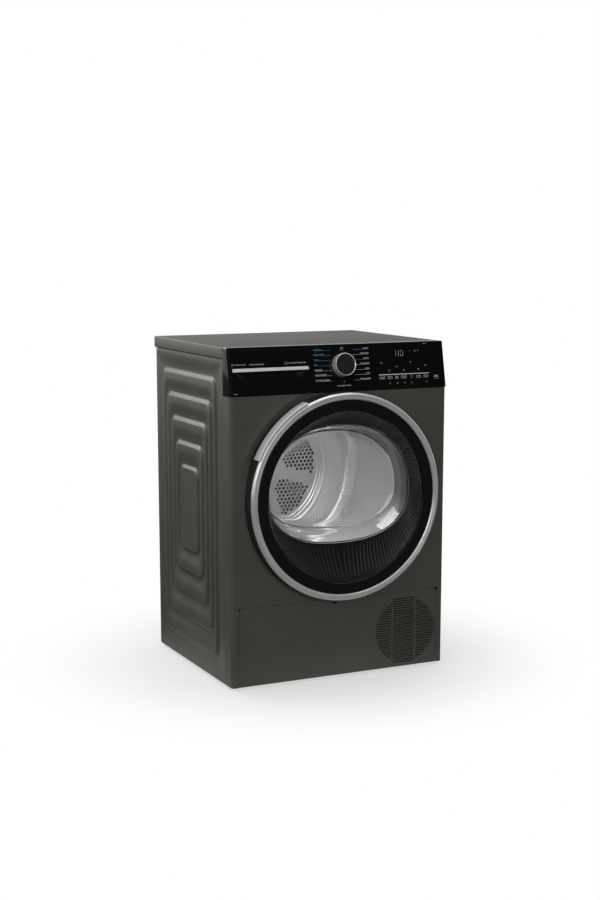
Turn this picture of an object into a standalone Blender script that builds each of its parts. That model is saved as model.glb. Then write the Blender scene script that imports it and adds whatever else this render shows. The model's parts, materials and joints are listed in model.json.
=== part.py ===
"""Front-loading heat-pump clothes dryer, built as separate sub-parts.

The cabinet stands on the floor with its front towards -Y and +X on the right of
someone facing it.  Every place is given as (x, depth, height): depth is measured
back from the flat front panel, and height up from the floor.
"""
import math

import bmesh
import bpy

# Cabinet
WIDTH = 0.598
HEIGHT = 0.846
BODY_DEPTH = 0.514          # flat front panel to the back edge of the worktop
PANEL_DEPTH = 0.497         # flat front panel to the back edge of the side panels
REAR_BULGE = 0.0535         # how far the rear duct cover stands behind the worktop
CORNER_DEPTH = 0.045        # where the front module ends and the side panels begin
FLOOR_GAP = 0.008
WORKTOP_THICKNESS = 0.029
STEP_COUNT = 5              # nested steps pressed into each side panel
STEP_DEPTH = 0.005
STEP_LIP = 0.005
STEP_MARGIN_DEPTH = (0.0506, 0.0380)    # from the panel's front and back edges
STEP_MARGIN_HEIGHT = (0.0503, 0.0475)   # from the panel's lower and upper edges
STEP_INSET = (0.0293, 0.0604)
STEP_CORNER = 0.026
SHEET = 0.001
FIT_GAP = 0.0003
HALF = WIDTH / 2.0
WORKTOP_UNDER = HEIGHT - WORKTOP_THICKNESS

# Control panel
FASCIA_HEIGHT = 0.116
FASCIA_BOTTOM = HEIGHT - FASCIA_HEIGHT
FASCIA_SLOPE = 0.2          # how far the face leans back for each metre of height
FASCIA_WALL = 0.0025
KNOB_X = 0.009
KNOB_HEIGHT = FASCIA_BOTTOM + 0.065
KNOB_RADIUS = 0.029
KNOB_LENGTH = 0.020
KNOB_WALL = 0.0035
SHAFT_RADIUS = 0.003
WINDOW_LOW = (0.150, FASCIA_BOTTOM + 0.076)
WINDOW_HIGH = (0.238, FASCIA_BOTTOM + 0.102)

# Water tank drawer
DRAWER_LEFT = -HALF + 0.0055
DRAWER_RIGHT = -0.082
DRAWER_BOTTOM = FASCIA_BOTTOM + 0.0045
DRAWER_TOP = HEIGHT - 0.0055
DRAWER_GAP = 0.001
DRAWER_THICKNESS = 0.016
GRIP_TOP = FASCIA_BOTTOM + 0.0568
GRIP_BOTTOM = FASCIA_BOTTOM + 0.012
GRIP_DEPTH = 0.0125
STRIP_HEIGHT = 0.008
TANK_LEFT = DRAWER_LEFT + 0.0045
TANK_RIGHT = DRAWER_RIGHT - 0.0045
TANK_BOTTOM = FASCIA_BOTTOM + 0.026
TANK_TOP = WORKTOP_UNDER - 0.009
TANK_END = 0.420
TANK_WALL = 0.0025
RUNNER_WALL = 0.0022
RUNNER_GAP = 0.001

# Door
DOOR_HEIGHT = 0.4705
DOOR_RADIUS = 0.262
DOOR_PROUD = 0.0415
RING_BAND = 0.0185
RING_WALL = 0.0015
RING_BACK = -0.004
LENS_BAND = 0.028
LENS_RING_INNER = DOOR_RADIUS - RING_BAND - LENS_BAND
GRIP_START = math.radians(114.7)
GRIP_END = math.radians(156.1)
GRIP_STAND = 0.0047
GLASS_HEIGHT = 0.478
GLASS_HALF_WIDTH = LENS_RING_INNER - 0.0185
GLASS_UP = GLASS_HALF_WIDTH - 0.024
GLASS_DOWN = GLASS_HALF_WIDTH - 0.069
GLASS_FRONT = 0.0045
GLASS_BACK = 0.060
GLASS_WALL = 0.004
FUNNEL_WALL = 0.0014
FRAME_RADIUS = DOOR_RADIUS - 0.0305
PLUG_RADIUS = FRAME_RADIUS - 0.0235
PLUG_LENGTH = 0.020
FRAME_WALL = 0.002
PORT_RADIUS = PLUG_RADIUS + 0.0035
SEAL_INNER = PORT_RADIUS + 0.0065
SEAL_OUTER = SEAL_INNER + 0.006
HINGE_X = DOOR_RADIUS - 0.009
HINGE_DEPTH = -0.0225
KNUCKLE_RADIUS = 0.004
PIN_RADIUS = 0.0022
LUG_LOW = 0.0315
LUG_HIGH = 0.0405
HOOK_X = 0.004 - FRAME_RADIUS
HOOK_SLOT = (-0.0065, 0.0045)

# Kick plate
KICK_HALF_WIDTH = HALF - 0.0185
KICK_TOP = 0.2078
KICK_BOTTOM = 0.0085
KICK_DEPTH = 0.012
KICK_WALL = 0.003
KICK_CORNER = 0.012
KICK_GAP = 0.0008
KICK_AXIS = (0.0, 0.008, 0.016)
VENT_X = 0.1885
VENT_HEIGHT = 0.1042
VENT_RADIUS = 0.087
VENT_PITCH = 0.012
VENT_SLOT = 0.005
VENT_BARS = (0.1504, 0.2171)
VENT_BAR_WIDTH = 0.006
LATCH_X = -0.016
LATCH_WIDTH = 0.011
LATCH_LOW = 0.1955
LATCH_HIGH = 0.2040

# Drum and drive
DRUM_HEIGHT = 0.478
DRUM_RADIUS = 0.276
DRUM_WALL = 0.0015
DRUM_FRONT = 0.072
DRUM_BACK = 0.462
DRUM_MOUTH = DRUM_RADIUS - 0.014
DISC_RADIUS = 0.186
DISC_DEPTH = 0.4685
DISC_WALL = 0.002
LIFTER_LENGTH = 0.290
LIFTER_HEIGHT = 0.045
LIFTER_WIDTH = 0.070
LIFTER_ANGLES = (275.0, 35.0, 155.0)
ROLLER_RADIUS = 0.022
ROLLER_ANGLE = math.radians(38.0)
MOTOR_X = 0.060
MOTOR_HEIGHT = 0.105
MOTOR_RADIUS = 0.050
PULLEY_RADIUS = 0.009
BELT_DEPTH = 0.3525
BELT_WIDTH = 0.012
BELT_THICKNESS = 0.002
BELT_LIFT = 0.0012
FAN_RADIUS = 0.055
FAN_FRONT = 0.377
FAN_BACK = 0.422
IDLER_RADIUS = 0.016
IDLER_SHARE = 0.72          # how far down the slack side of the belt the idler presses
IDLER_PIVOT = (0.012, -0.062)

# Base
TRAY_BOTTOM = 0.012
TRAY_TOP = 0.060
TRAY_WALL = 0.003
FOOT_RADIUS = 0.019
FOOT_PAD = 0.008
STEM_RADIUS = 0.005
FOOT_X = HALF - 0.037
FOOT_DEPTHS = (0.045, 0.465)

ROUND_STEPS = 48
KNOB_STEPS = 32
SMALL_STEPS = 20

FRONT_Y = DOOR_PROUD - (DOOR_PROUD + BODY_DEPTH + REAR_BULGE) / 2.0
TILT = math.atan(FASCIA_SLOPE)
REAR_PANEL_DEPTH = PANEL_DEPTH - 0.0015


def clear_scene():
    """Remove whatever the file holds."""
    for obj in list(bpy.data.objects):
        bpy.data.objects.remove(obj, do_unlink=True)


def make_collection(name):
    """A new collection linked to the scene."""
    found = bpy.data.collections.new(name)
    bpy.context.scene.collection.children.link(found)
    return found


clear_scene()
PARTS = make_collection("clothes_dryer")
CUTTERS = make_collection("cutters")


# ---------------------------------------------------------------- materials

def material(name, colour, roughness, metallic=0.0):
    """A plain Principled material in the part's colour."""
    made = bpy.data.materials.new(name)
    made.use_nodes = True
    shader = made.node_tree.nodes["Principled BSDF"]
    shader.inputs["Base Color"].default_value = (*colour, 1.0)
    shader.inputs["Roughness"].default_value = roughness
    shader.inputs["Metallic"].default_value = metallic
    return made


OLIVE = ((0.052, 0.054, 0.047), 0.42, 0.55)
BLACK_GLOSS = ((0.006, 0.006, 0.007), 0.08, 0.0)
BLACK_MATTE = ((0.018, 0.018, 0.019), 0.55, 0.0)
CHROME = ((0.80, 0.80, 0.81), 0.10, 1.0)
GLASS = ((0.86, 0.90, 0.92), 0.04, 0.0)
STEEL = ((0.56, 0.57, 0.58), 0.32, 0.9)
GREY_PLASTIC = ((0.30, 0.31, 0.32), 0.5, 0.0)
WHITE_PLASTIC = ((0.70, 0.70, 0.68), 0.5, 0.0)
RUBBER = ((0.02, 0.02, 0.02), 0.8, 0.0)
ALUMINIUM = ((0.68, 0.69, 0.70), 0.35, 0.9)
BOARD = ((0.03, 0.16, 0.07), 0.5, 0.0)
FELT = ((0.45, 0.44, 0.40), 0.95, 0.0)


# ------------------------------------------------------------------ helpers

def body(name, place, tilt=0.0):
    """An empty that carries the pieces of one moving body."""
    empty = bpy.data.objects.new(name, None)
    empty.location = (place[0], FRONT_Y + place[1], place[2])
    empty.rotation_euler = (tilt, 0.0, 0.0)
    PARTS.objects.link(empty)
    return empty


def settle(obj, name, finish, place, carrier, turn=(0.0, 0.0, 0.0)):
    """Name an object, give it its finish and hang it on its body."""
    obj.name = name
    obj.rotation_euler = turn
    if finish is None:
        obj.location = (place[0], FRONT_Y + place[1], place[2])
        CUTTERS.objects.link(obj)
        obj.hide_render = True
        obj.display_type = 'WIRE'
        return obj
    obj.data.materials.clear()
    obj.data.materials.append(material(name + "_finish", *finish))
    obj.parent = carrier
    start = carrier.location
    obj.location = (place[0] - start.x, FRONT_Y + place[1] - start.y, place[2] - start.z)
    PARTS.objects.link(obj)
    return obj


def mesh_object(bm, name):
    """Turn a bmesh into an object that is in no collection yet."""
    mesh = bpy.data.meshes.new(name)
    bm.to_mesh(mesh)
    bm.free()
    return bpy.data.objects.new(name, mesh)


def box(name, low, high, finish=None, carrier=None, bevel=0.0, segments=2):
    """A block between two corners, with rounded edges where a bevel is given."""
    bm = bmesh.new()
    bmesh.ops.create_cube(bm, size=1.0)
    size = [high[i] - low[i] for i in range(3)]
    bmesh.ops.scale(bm, vec=size, verts=bm.verts)
    obj = mesh_object(bm, name)
    middle = [(high[i] + low[i]) / 2.0 for i in range(3)]
    settle(obj, name, finish, middle, carrier)
    if bevel > 0.0:
        edge = obj.modifiers.new("rounded", 'BEVEL')
        edge.width = bevel
        edge.segments = segments
    return obj


def shade_round(obj):
    """Smooth shading with the hard edges kept."""
    obj.data.shade_smooth()
    obj.data.set_sharp_from_angle(angle=math.radians(35.0))


def rod(name, start, radius, length, finish=None, carrier=None, axis='DEPTH', steps=SMALL_STEPS):
    """A cylinder from its start point along the depth or the height."""
    bm = bmesh.new()
    bmesh.ops.create_cone(bm, cap_ends=True, segments=steps, radius1=radius, radius2=radius,
                          depth=length)
    obj = mesh_object(bm, name)
    shade_round(obj)
    if axis == 'DEPTH':
        middle = (start[0], start[1] + length / 2.0, start[2])
        turn = (-math.pi / 2.0, 0.0, 0.0)
    else:
        middle = (start[0], start[1], start[2] + length / 2.0)
        turn = (0.0, 0.0, 0.0)
    return settle(obj, name, finish, middle, carrier, turn)


def signed_area(points):
    """Twice the area inside a loop of points, positive when it runs anticlockwise."""
    following = points[1:] + points[:1]
    return sum(a[0] * b[1] - b[0] * a[1] for a, b in zip(points, following))


def turned(name, profile, place, finish=None, carrier=None, axis='DEPTH', steps=ROUND_STEPS,
           shell=0.0):
    """Turn a (radius, length) profile about the depth or the height.

    A closed profile that keeps off the axis makes a ring, and one that ends on the
    axis makes a solid.  With a shell thickness the profile stays open.
    """
    points = list(profile)
    if shell == 0.0 and signed_area(points) > 0.0:
        points.reverse()
    mesh = bpy.data.meshes.new(name)
    last = len(points) - 1
    edges = [(i, i + 1) for i in range(last)]
    touches_axis = points[0][0] == 0.0 and points[last][0] == 0.0
    on_axis = [i for i, point in enumerate(points) if point[0] == 0.0]
    if shell == 0.0 and not on_axis:
        edges.append((last, 0))
    if on_axis and not touches_axis:
        split = on_axis[-1] if on_axis[-1] - on_axis[0] == 1 else on_axis[0]
        points = points[split:] + points[:split]
    mesh.from_pydata([(r, 0.0, h) for r, h in points], edges, [])
    obj = bpy.data.objects.new(name, mesh)
    turn = (-math.pi / 2.0, 0.0, 0.0) if axis == 'DEPTH' else (0.0, 0.0, 0.0)
    settle(obj, name, finish, place, carrier, turn)
    screw = obj.modifiers.new("turn", 'SCREW')
    screw.axis = 'Z'
    screw.angle = 2.0 * math.pi
    screw.steps = steps
    screw.render_steps = steps
    screw.use_merge_vertices = True
    screw.merge_threshold = 0.00001
    screw.use_smooth_shade = True
    if shell > 0.0:
        wall = obj.modifiers.new("wall", 'SOLIDIFY')
        wall.thickness = shell
        wall.offset = -1.0
        wall.use_even_offset = True
    return obj


def flat(name, loops, place, length, finish=None, carrier=None, facing='DEPTH'):
    """Extrude flat outlines; the first is the outside and the rest are holes.

    Facing DEPTH the outline is (x, height) and starts at the place's depth.  Facing
    SIDE it is (depth, height) and starts at the place's x.
    """
    curve = bpy.data.curves.new(name, 'CURVE')
    curve.dimensions = '2D'
    curve.fill_mode = 'BOTH'
    curve.extrude = length / 2.0
    for loop in loops:
        spline = curve.splines.new('POLY')
        spline.points.add(len(loop) - 1)
        for point, (u, v) in zip(spline.points, loop):
            point.co = (u, v, 0.0, 1.0)
        spline.use_cyclic_u = True
    drawn = bpy.data.objects.new(name + "_outline", curve)
    bpy.context.scene.collection.objects.link(drawn)
    bpy.context.view_layer.update()
    graph = bpy.context.evaluated_depsgraph_get()
    mesh = bpy.data.meshes.new_from_object(drawn.evaluated_get(graph))
    bpy.data.objects.remove(drawn, do_unlink=True)
    bm = bmesh.new()
    bm.from_mesh(mesh)
    bmesh.ops.remove_doubles(bm, verts=bm.verts, dist=0.00001)
    bmesh.ops.recalc_face_normals(bm, faces=bm.faces)
    bm.to_mesh(mesh)
    bm.free()
    obj = bpy.data.objects.new(name, mesh)
    if facing == 'DEPTH':
        middle = (place[0], place[1] + length / 2.0, place[2])
        turn = (math.pi / 2.0, 0.0, 0.0)
    else:
        middle = (place[0] + length / 2.0, place[1], place[2])
        turn = (math.pi / 2.0, 0.0, math.pi / 2.0)
    return settle(obj, name, finish, middle, carrier, turn)


def boolean(obj, other, operation):
    """Combine an object with a cutter or a piece of itself."""
    step = obj.modifiers.new(operation.lower(), 'BOOLEAN')
    step.operation = operation
    step.object = other
    step.solver = 'EXACT'


def cut(obj, *others):
    """Take the cutters out of an object."""
    for other in others:
        boolean(obj, other, 'DIFFERENCE')


def join(obj, *others):
    """Grow an object by pieces that overlap it."""
    for other in others:
        boolean(obj, other, 'UNION')


def arc(centre, radius, start, end, steps):
    """Points along an arc, both ends included."""
    turns = [start + (end - start) * i / steps for i in range(steps + 1)]
    return [(centre[0] + radius * math.cos(a), centre[1] + radius * math.sin(a)) for a in turns]


def circle(centre, radius, steps):
    """Points round a circle."""
    return arc(centre, radius, 0.0, 2.0 * math.pi, steps)[:-1]


def rounded_rectangle(centre, half_width, half_height, radius, steps):
    """Points round a rectangle with equal corner arcs, anticlockwise from the right."""
    points = []
    for corner, (sx, sy) in enumerate(((1, 1), (-1, 1), (-1, -1), (1, -1))):
        middle = (centre[0] + sx * (half_width - radius), centre[1] + sy * (half_height - radius))
        start = corner * math.pi / 2.0
        points += arc(middle, radius, start, start + math.pi / 2.0, steps)
    return points


def fascia_depth(height):
    """Depth of the leaning face of the control panel at a height."""
    return (height - FASCIA_BOTTOM) * FASCIA_SLOPE


def glass_outline(half_width, up, down, steps):
    """The flattened window outline: two half superellipses that meet at their widest."""
    points = []
    for i in range(steps):
        turn = 2.0 * math.pi * i / steps
        c, s = math.cos(turn), math.sin(turn)
        tall, power = (up, 2.2) if s >= 0.0 else (down, 2.4)
        x = half_width * math.copysign(abs(c) ** (2.0 / power), c)
        z = tall * math.copysign(abs(s) ** (2.0 / power), s)
        points.append((x, GLASS_HEIGHT + z))
    return points


def loft(name, rings, finish, carrier, wall, capped=False):
    """Join rings of (x, depth, height) points into a sheet and give it a wall behind."""
    bm = bmesh.new()
    rows = [[bm.verts.new(point) for point in ring] for ring in rings]
    count = len(rows[0])
    for outer, inner in zip(rows, rows[1:]):
        for i in range(count):
            j = (i + 1) % count
            bm.faces.new((outer[i], inner[i], inner[j], outer[j]))
    if capped:
        bm.faces.new(list(reversed(rows[-1])))
    obj = mesh_object(bm, name)
    settle(obj, name, finish, (0.0, 0.0, 0.0), carrier)
    shell = obj.modifiers.new("wall", 'SOLIDIFY')
    shell.thickness = wall
    shell.offset = -1.0
    return obj


# -------------------------------------------------------------- the cabinet

def build_worktop(cabinet):
    """Board with rounded edges that closes the top and overhangs at the back."""
    box("worktop", (-HALF, CORNER_DEPTH + FIT_GAP, WORKTOP_UNDER), (HALF, BODY_DEPTH, HEIGHT),
        OLIVE, cabinet, bevel=0.0025)


def build_side_panel(cabinet, side, name):
    """Pressed sheet whose nested steps each drop in sharply and slope back out."""
    low = (CORNER_DEPTH + FIT_GAP, FLOOR_GAP)
    high = (PANEL_DEPTH, WORKTOP_UNDER - FIT_GAP)
    centre = ((low[0] + high[0]) / 2.0, (low[1] + high[1]) / 2.0)
    half = ((high[0] - low[0]) / 2.0, (high[1] - low[1]) / 2.0)
    outlines = [(rounded_rectangle(centre, half[0], half[1], 0.002, 3), 0.0)]
    first = (low[0] + STEP_MARGIN_DEPTH[0], low[1] + STEP_MARGIN_HEIGHT[0])
    last = (high[0] - STEP_MARGIN_DEPTH[1], high[1] - STEP_MARGIN_HEIGHT[1])
    middle = ((first[0] + last[0]) / 2.0, (first[1] + last[1]) / 2.0)
    for step in range(STEP_COUNT):
        wide = (last[0] - first[0]) / 2.0 - step * STEP_INSET[0]
        tall = (last[1] - first[1]) / 2.0 - step * STEP_INSET[1]
        outer = rounded_rectangle(middle, wide, tall, STEP_CORNER, 3)
        inner = rounded_rectangle(middle, wide - STEP_LIP, tall - STEP_LIP,
                                  STEP_CORNER - STEP_LIP, 3)
        outlines.append((outer, 0.0))
        outlines.append((inner, STEP_DEPTH))
    rings = [[(side * (HALF - inset), d, h) for d, h in outline] for outline, inset in outlines]
    if side > 0:
        rings = [list(reversed(ring)) for ring in rings]
    loft(name, rings, OLIVE, cabinet, SHEET, capped=True)


def build_front_panel(cabinet):
    """Sheet that wraps both front corners, with the loading port and kick opening."""
    radius = 0.008
    plan = [(-HALF, CORNER_DEPTH)]
    plan += arc((-HALF + radius, radius), radius, math.pi, 1.5 * math.pi, 3)
    plan += arc((HALF - radius, radius), radius, 1.5 * math.pi, 2.0 * math.pi, 3)
    plan.append((HALF, CORNER_DEPTH))
    bm = bmesh.new()
    rows = [[bm.verts.new((x, d, h)) for x, d in plan]
            for h in (FLOOR_GAP, FASCIA_BOTTOM - FIT_GAP)]
    for i in range(len(plan) - 1):
        bm.faces.new((rows[0][i], rows[0][i + 1], rows[1][i + 1], rows[1][i]))
    panel = mesh_object(bm, "front_panel")
    settle(panel, "front_panel", OLIVE, (0.0, 0.0, 0.0), cabinet)
    wall = panel.modifiers.new("wall", 'SOLIDIFY')
    wall.thickness = SHEET
    wall.offset = -1.0
    wall.use_even_offset = True
    port = rod("port_cutter", (0.0, -0.02, DOOR_HEIGHT), PORT_RADIUS + 0.005, 0.04,
               steps=ROUND_STEPS)
    opening = flat("kick_opening_cutter",
                   [kick_outline(KICK_HALF_WIDTH + KICK_GAP, -0.01, KICK_TOP + KICK_GAP,
                                 KICK_CORNER + KICK_GAP)], (0.0, -0.02, 0.0), 0.04)
    slot = box("hook_slot_cutter", (HOOK_X + HOOK_SLOT[0], -0.02, DOOR_HEIGHT - 0.013),
               (HOOK_X + HOOK_SLOT[1], 0.02, DOOR_HEIGHT + 0.013))
    cut(panel, port, opening, slot)


def kick_outline(half_width, bottom, top, radius):
    """A rectangle whose two upper corners are rounded."""
    points = [(half_width, bottom)]
    points += arc((half_width - radius, top - radius), radius, 0.0, math.pi / 2.0, 4)
    points += arc((-half_width + radius, top - radius), radius, math.pi / 2.0, math.pi, 4)
    points.append((-half_width, bottom))
    return points


def build_back(cabinet):
    """Flat rear panel, the duct cover that bulges from it, and the mains inlet."""
    depth = REAR_PANEL_DEPTH
    edge = HALF - SHEET - FIT_GAP
    outline = [(-edge, FLOOR_GAP), (edge, FLOOR_GAP), (edge, WORKTOP_UNDER - FIT_GAP),
               (-edge, WORKTOP_UNDER - FIT_GAP)]
    holes = []
    for step in range(6):
        turn = math.radians(60.0 * step + 30.0)
        centre = (0.13 * math.cos(turn), DRUM_HEIGHT + 0.13 * math.sin(turn))
        holes.append(circle(centre, 0.035, 12))
    flat("rear_panel", [outline] + holes, (0.0, depth, 0.0), SHEET, OLIVE, cabinet)

    start = depth + SHEET + FIT_GAP
    length = BODY_DEPTH + REAR_BULGE - start
    cover = flat("rear_duct_cover", [duct_outline(0.0)], (0.0, start, 0.0), length, STEEL, cabinet)
    edge = cover.modifiers.new("rounded", 'BEVEL')
    edge.width = 0.006
    edge.segments = 1
    edge.limit_method = 'ANGLE'
    edge.angle_limit = math.radians(50.0)
    hollow = flat("duct_hollow_cutter", [duct_outline(0.0015)], (0.0, start - 0.01, 0.0),
                  length + 0.01 - 0.0015)
    cut(cover, hollow)

    box("power_inlet", (-0.262, start, 0.062), (-0.226, start + 0.014, 0.088), BLACK_MATTE,
        cabinet, bevel=0.002)
    gland = rod("gland_cutter", (-0.244, start + 0.002, 0.075), 0.006, 0.03, steps=12)
    cut(bpy.data.objects["power_inlet"], gland)


def duct_outline(inset):
    """Round cover over the drum's rear with a foot that runs down to the blower."""
    radius = 0.235 - inset
    foot = 0.130 - inset
    bottom = 0.095 + inset
    lean = math.acos(foot / radius)
    points = arc((0.0, DRUM_HEIGHT), radius, -lean, math.pi + lean, 32)
    points += [(-foot, bottom), (foot, bottom)]
    return points


def build_base(cabinet):
    """Moulded tray that carries the heat pump."""
    side = HALF - SHEET - STEP_DEPTH - 0.0015
    low = (-side, 0.022, TRAY_BOTTOM)
    high = (side, REAR_PANEL_DEPTH - 0.0015, TRAY_TOP)
    tray = box("base_tray", low, high, BLACK_MATTE, cabinet)
    hollow = box("tray_hollow_cutter", [v + TRAY_WALL for v in low],
                 (high[0] - TRAY_WALL, high[1] - TRAY_WALL, high[2] + 0.02))
    cut(tray, hollow)
    for x in (-FOOT_X, FOOT_X):
        for depth in FOOT_DEPTHS:
            cut(tray, rod("foot_hole_cutter", (x, depth, 0.0), STEM_RADIUS + 0.0005, 0.03,
                          axis='HEIGHT', steps=16))


def build_feet():
    """Four levelling feet, each a pad on a threaded stem."""
    for x, across in ((-FOOT_X, "left"), (FOOT_X, "right")):
        for depth, along in zip(FOOT_DEPTHS, ("front", "rear")):
            name = "foot_" + along + "_" + across
            carrier = body(name + "_body", (x, depth, 0.0))
            turned(name, [(0.0, 0.0), (FOOT_RADIUS, 0.0), (FOOT_RADIUS, FOOT_PAD - 0.002),
                          (FOOT_RADIUS - 0.003, FOOT_PAD), (STEM_RADIUS, FOOT_PAD),
                          (STEM_RADIUS, 0.040), (0.0, 0.040)],
                   (x, depth, 0.0), BLACK_MATTE, carrier, axis='HEIGHT', steps=16)


# -------------------------------------------------------- the control panel

def leaning_block(name, x_low, x_high, low, high, front, back, finish=None, carrier=None):
    """A block whose front and back follow the leaning face, offset by front and back."""
    outline = [(fascia_depth(low) + front, low), (fascia_depth(low) + back, low),
               (fascia_depth(high) + back, high), (fascia_depth(high) + front, high)]
    return flat(name, [outline], (x_low, 0.0, 0.0), x_high - x_low, finish, carrier, 'SIDE')


def build_fascia(cabinet):
    """Gloss shell with a leaning face, open at the back."""
    low = FASCIA_BOTTOM + FIT_GAP
    outline = [(fascia_depth(low), low), (CORNER_DEPTH, low), (CORNER_DEPTH, HEIGHT),
               (fascia_depth(HEIGHT), HEIGHT)]
    shell = flat("fascia", [outline], (-HALF, 0.0, 0.0), WIDTH, BLACK_GLOSS, cabinet, 'SIDE')
    edge = shell.modifiers.new("rounded", 'BEVEL')
    edge.width = 0.003
    edge.segments = 2
    wall = FASCIA_WALL
    inside = [(fascia_depth(low) + wall, low + wall), (CORNER_DEPTH + 0.01, low + wall),
              (CORNER_DEPTH + 0.01, HEIGHT - wall), (fascia_depth(HEIGHT) + wall, HEIGHT - wall)]
    hollow = flat("fascia_hollow_cutter", [inside], (-HALF + wall, 0.0, 0.0), WIDTH - 2 * wall,
                  facing='SIDE')
    drawer = box("drawer_opening_cutter",
                 (DRAWER_LEFT - DRAWER_GAP, -0.02, DRAWER_BOTTOM - DRAWER_GAP),
                 (DRAWER_RIGHT + DRAWER_GAP, 0.035, DRAWER_TOP + DRAWER_GAP))
    window = box("window_cutter", (WINDOW_LOW[0], -0.02, WINDOW_LOW[1]),
                 (WINDOW_HIGH[0], 0.035, WINDOW_HIGH[1]))
    shaft = rod("shaft_hole_cutter", (KNOB_X, -0.01, KNOB_HEIGHT), SHAFT_RADIUS + 0.003, 0.04,
                steps=16)
    cut(shell, hollow, drawer, window, shaft)
    gap = FIT_GAP
    leaning_block("display_window", WINDOW_LOW[0] + gap, WINDOW_HIGH[0] - gap,
                  WINDOW_LOW[1] + gap, WINDOW_HIGH[1] - gap, 0.0, 0.002, BLACK_GLOSS, cabinet)
    box("control_board", (DRAWER_RIGHT + 0.012, 0.0345, FASCIA_BOTTOM + 0.012),
        (HALF - 0.014, 0.0365, HEIGHT - 0.010), BOARD, cabinet)


def build_selector():
    """Programme knob: bright skirt, dark cap and the shaft behind them.

    The body leans with the face, so lengths here run inward along its normal.
    """
    place = (KNOB_X, fascia_depth(KNOB_HEIGHT), KNOB_HEIGHT)
    carrier = body("selector", place, tilt=-TILT)
    face = -KNOB_LENGTH
    bore = KNOB_RADIUS - KNOB_WALL
    skirt = [(KNOB_RADIUS, -0.0006), (KNOB_RADIUS - 0.0006, face + 0.0015),
             (KNOB_RADIUS - 0.002, face), (bore, face), (bore, -0.0006)]
    turned("selector_knob", skirt, place, CHROME, carrier, steps=KNOB_STEPS)
    disc = bore - FIT_GAP
    hub = SHAFT_RADIUS + 0.003
    socket = SHAFT_RADIUS + FIT_GAP
    cap = [(0.0, face + 0.0008), (disc - 0.001, face + 0.0008), (disc, face + 0.0018),
           (disc, face + 0.0048), (hub, face + 0.0048), (hub, -0.003), (socket, -0.003),
           (socket, face + 0.0052), (0.0, face + 0.0052)]
    turned("knob_cap", cap, place, BLACK_GLOSS, carrier, steps=KNOB_STEPS)
    rod("selector_shaft", (place[0], place[1] + face + 0.0055, place[2]), SHAFT_RADIUS, 0.031,
        BLACK_MATTE, carrier, steps=12)


def build_water_tank():
    """Drawer front with a scooped grip under a bright strip, and the tank behind it."""
    carrier = body("tank_drawer", (DRAWER_LEFT, 0.0, DRAWER_BOTTOM))
    front = leaning_block("tank_front", DRAWER_LEFT, DRAWER_RIGHT, DRAWER_BOTTOM, DRAWER_TOP,
                          0.0, DRAWER_THICKNESS, BLACK_GLOSS, carrier)
    scoop = [(fascia_depth(GRIP_TOP) - 0.02, GRIP_TOP),
             (fascia_depth(GRIP_TOP) - 0.02, GRIP_BOTTOM - 0.0105),
             (fascia_depth(GRIP_BOTTOM), GRIP_BOTTOM),
             (fascia_depth(GRIP_TOP) + GRIP_DEPTH, GRIP_TOP)]
    left = DRAWER_LEFT + 0.008
    right = DRAWER_RIGHT - 0.0055
    cut(front, flat("grip_cutter", [scoop], (left, 0.0, 0.0), right - left, facing='SIDE'))
    leaning_block("tank_grip_strip", DRAWER_LEFT + 0.006, DRAWER_RIGHT - 0.003,
                  GRIP_TOP + 0.0014, GRIP_TOP + 0.0014 + STRIP_HEIGHT, -0.0033, -FIT_GAP,
                  CHROME, carrier)
    low = (TANK_LEFT, 0.034, TANK_BOTTOM)
    high = (TANK_RIGHT, TANK_END, TANK_TOP)
    tank = box("water_tank", low, high, WHITE_PLASTIC, carrier, bevel=0.003, segments=1)
    hollow = box("tank_hollow_cutter", [v + TANK_WALL for v in low],
                 [v - TANK_WALL for v in high])
    inlet = rod("tank_inlet_cutter", ((low[0] + high[0]) / 2.0, TANK_END - 0.05, TANK_TOP - 0.01),
                0.018, 0.02, axis='HEIGHT', steps=16)
    cut(tank, hollow, inlet)


def build_tank_runner(cabinet):
    """Channel that the tank slides in."""
    grow = RUNNER_GAP + RUNNER_WALL
    low = (TANK_LEFT - grow, CORNER_DEPTH + 0.001, TANK_BOTTOM - grow)
    high = (TANK_RIGHT + grow, TANK_END + 0.030, TANK_TOP)
    runner = box("tank_runner", low, high, BLACK_MATTE, cabinet)
    cut(runner, box("runner_cutter", (low[0] + RUNNER_WALL, low[1] - 0.02, low[2] + RUNNER_WALL),
                    (high[0] - RUNNER_WALL, TANK_END + 0.010, high[2] + 0.02)))


# ------------------------------------------------------------------ the door

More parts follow.
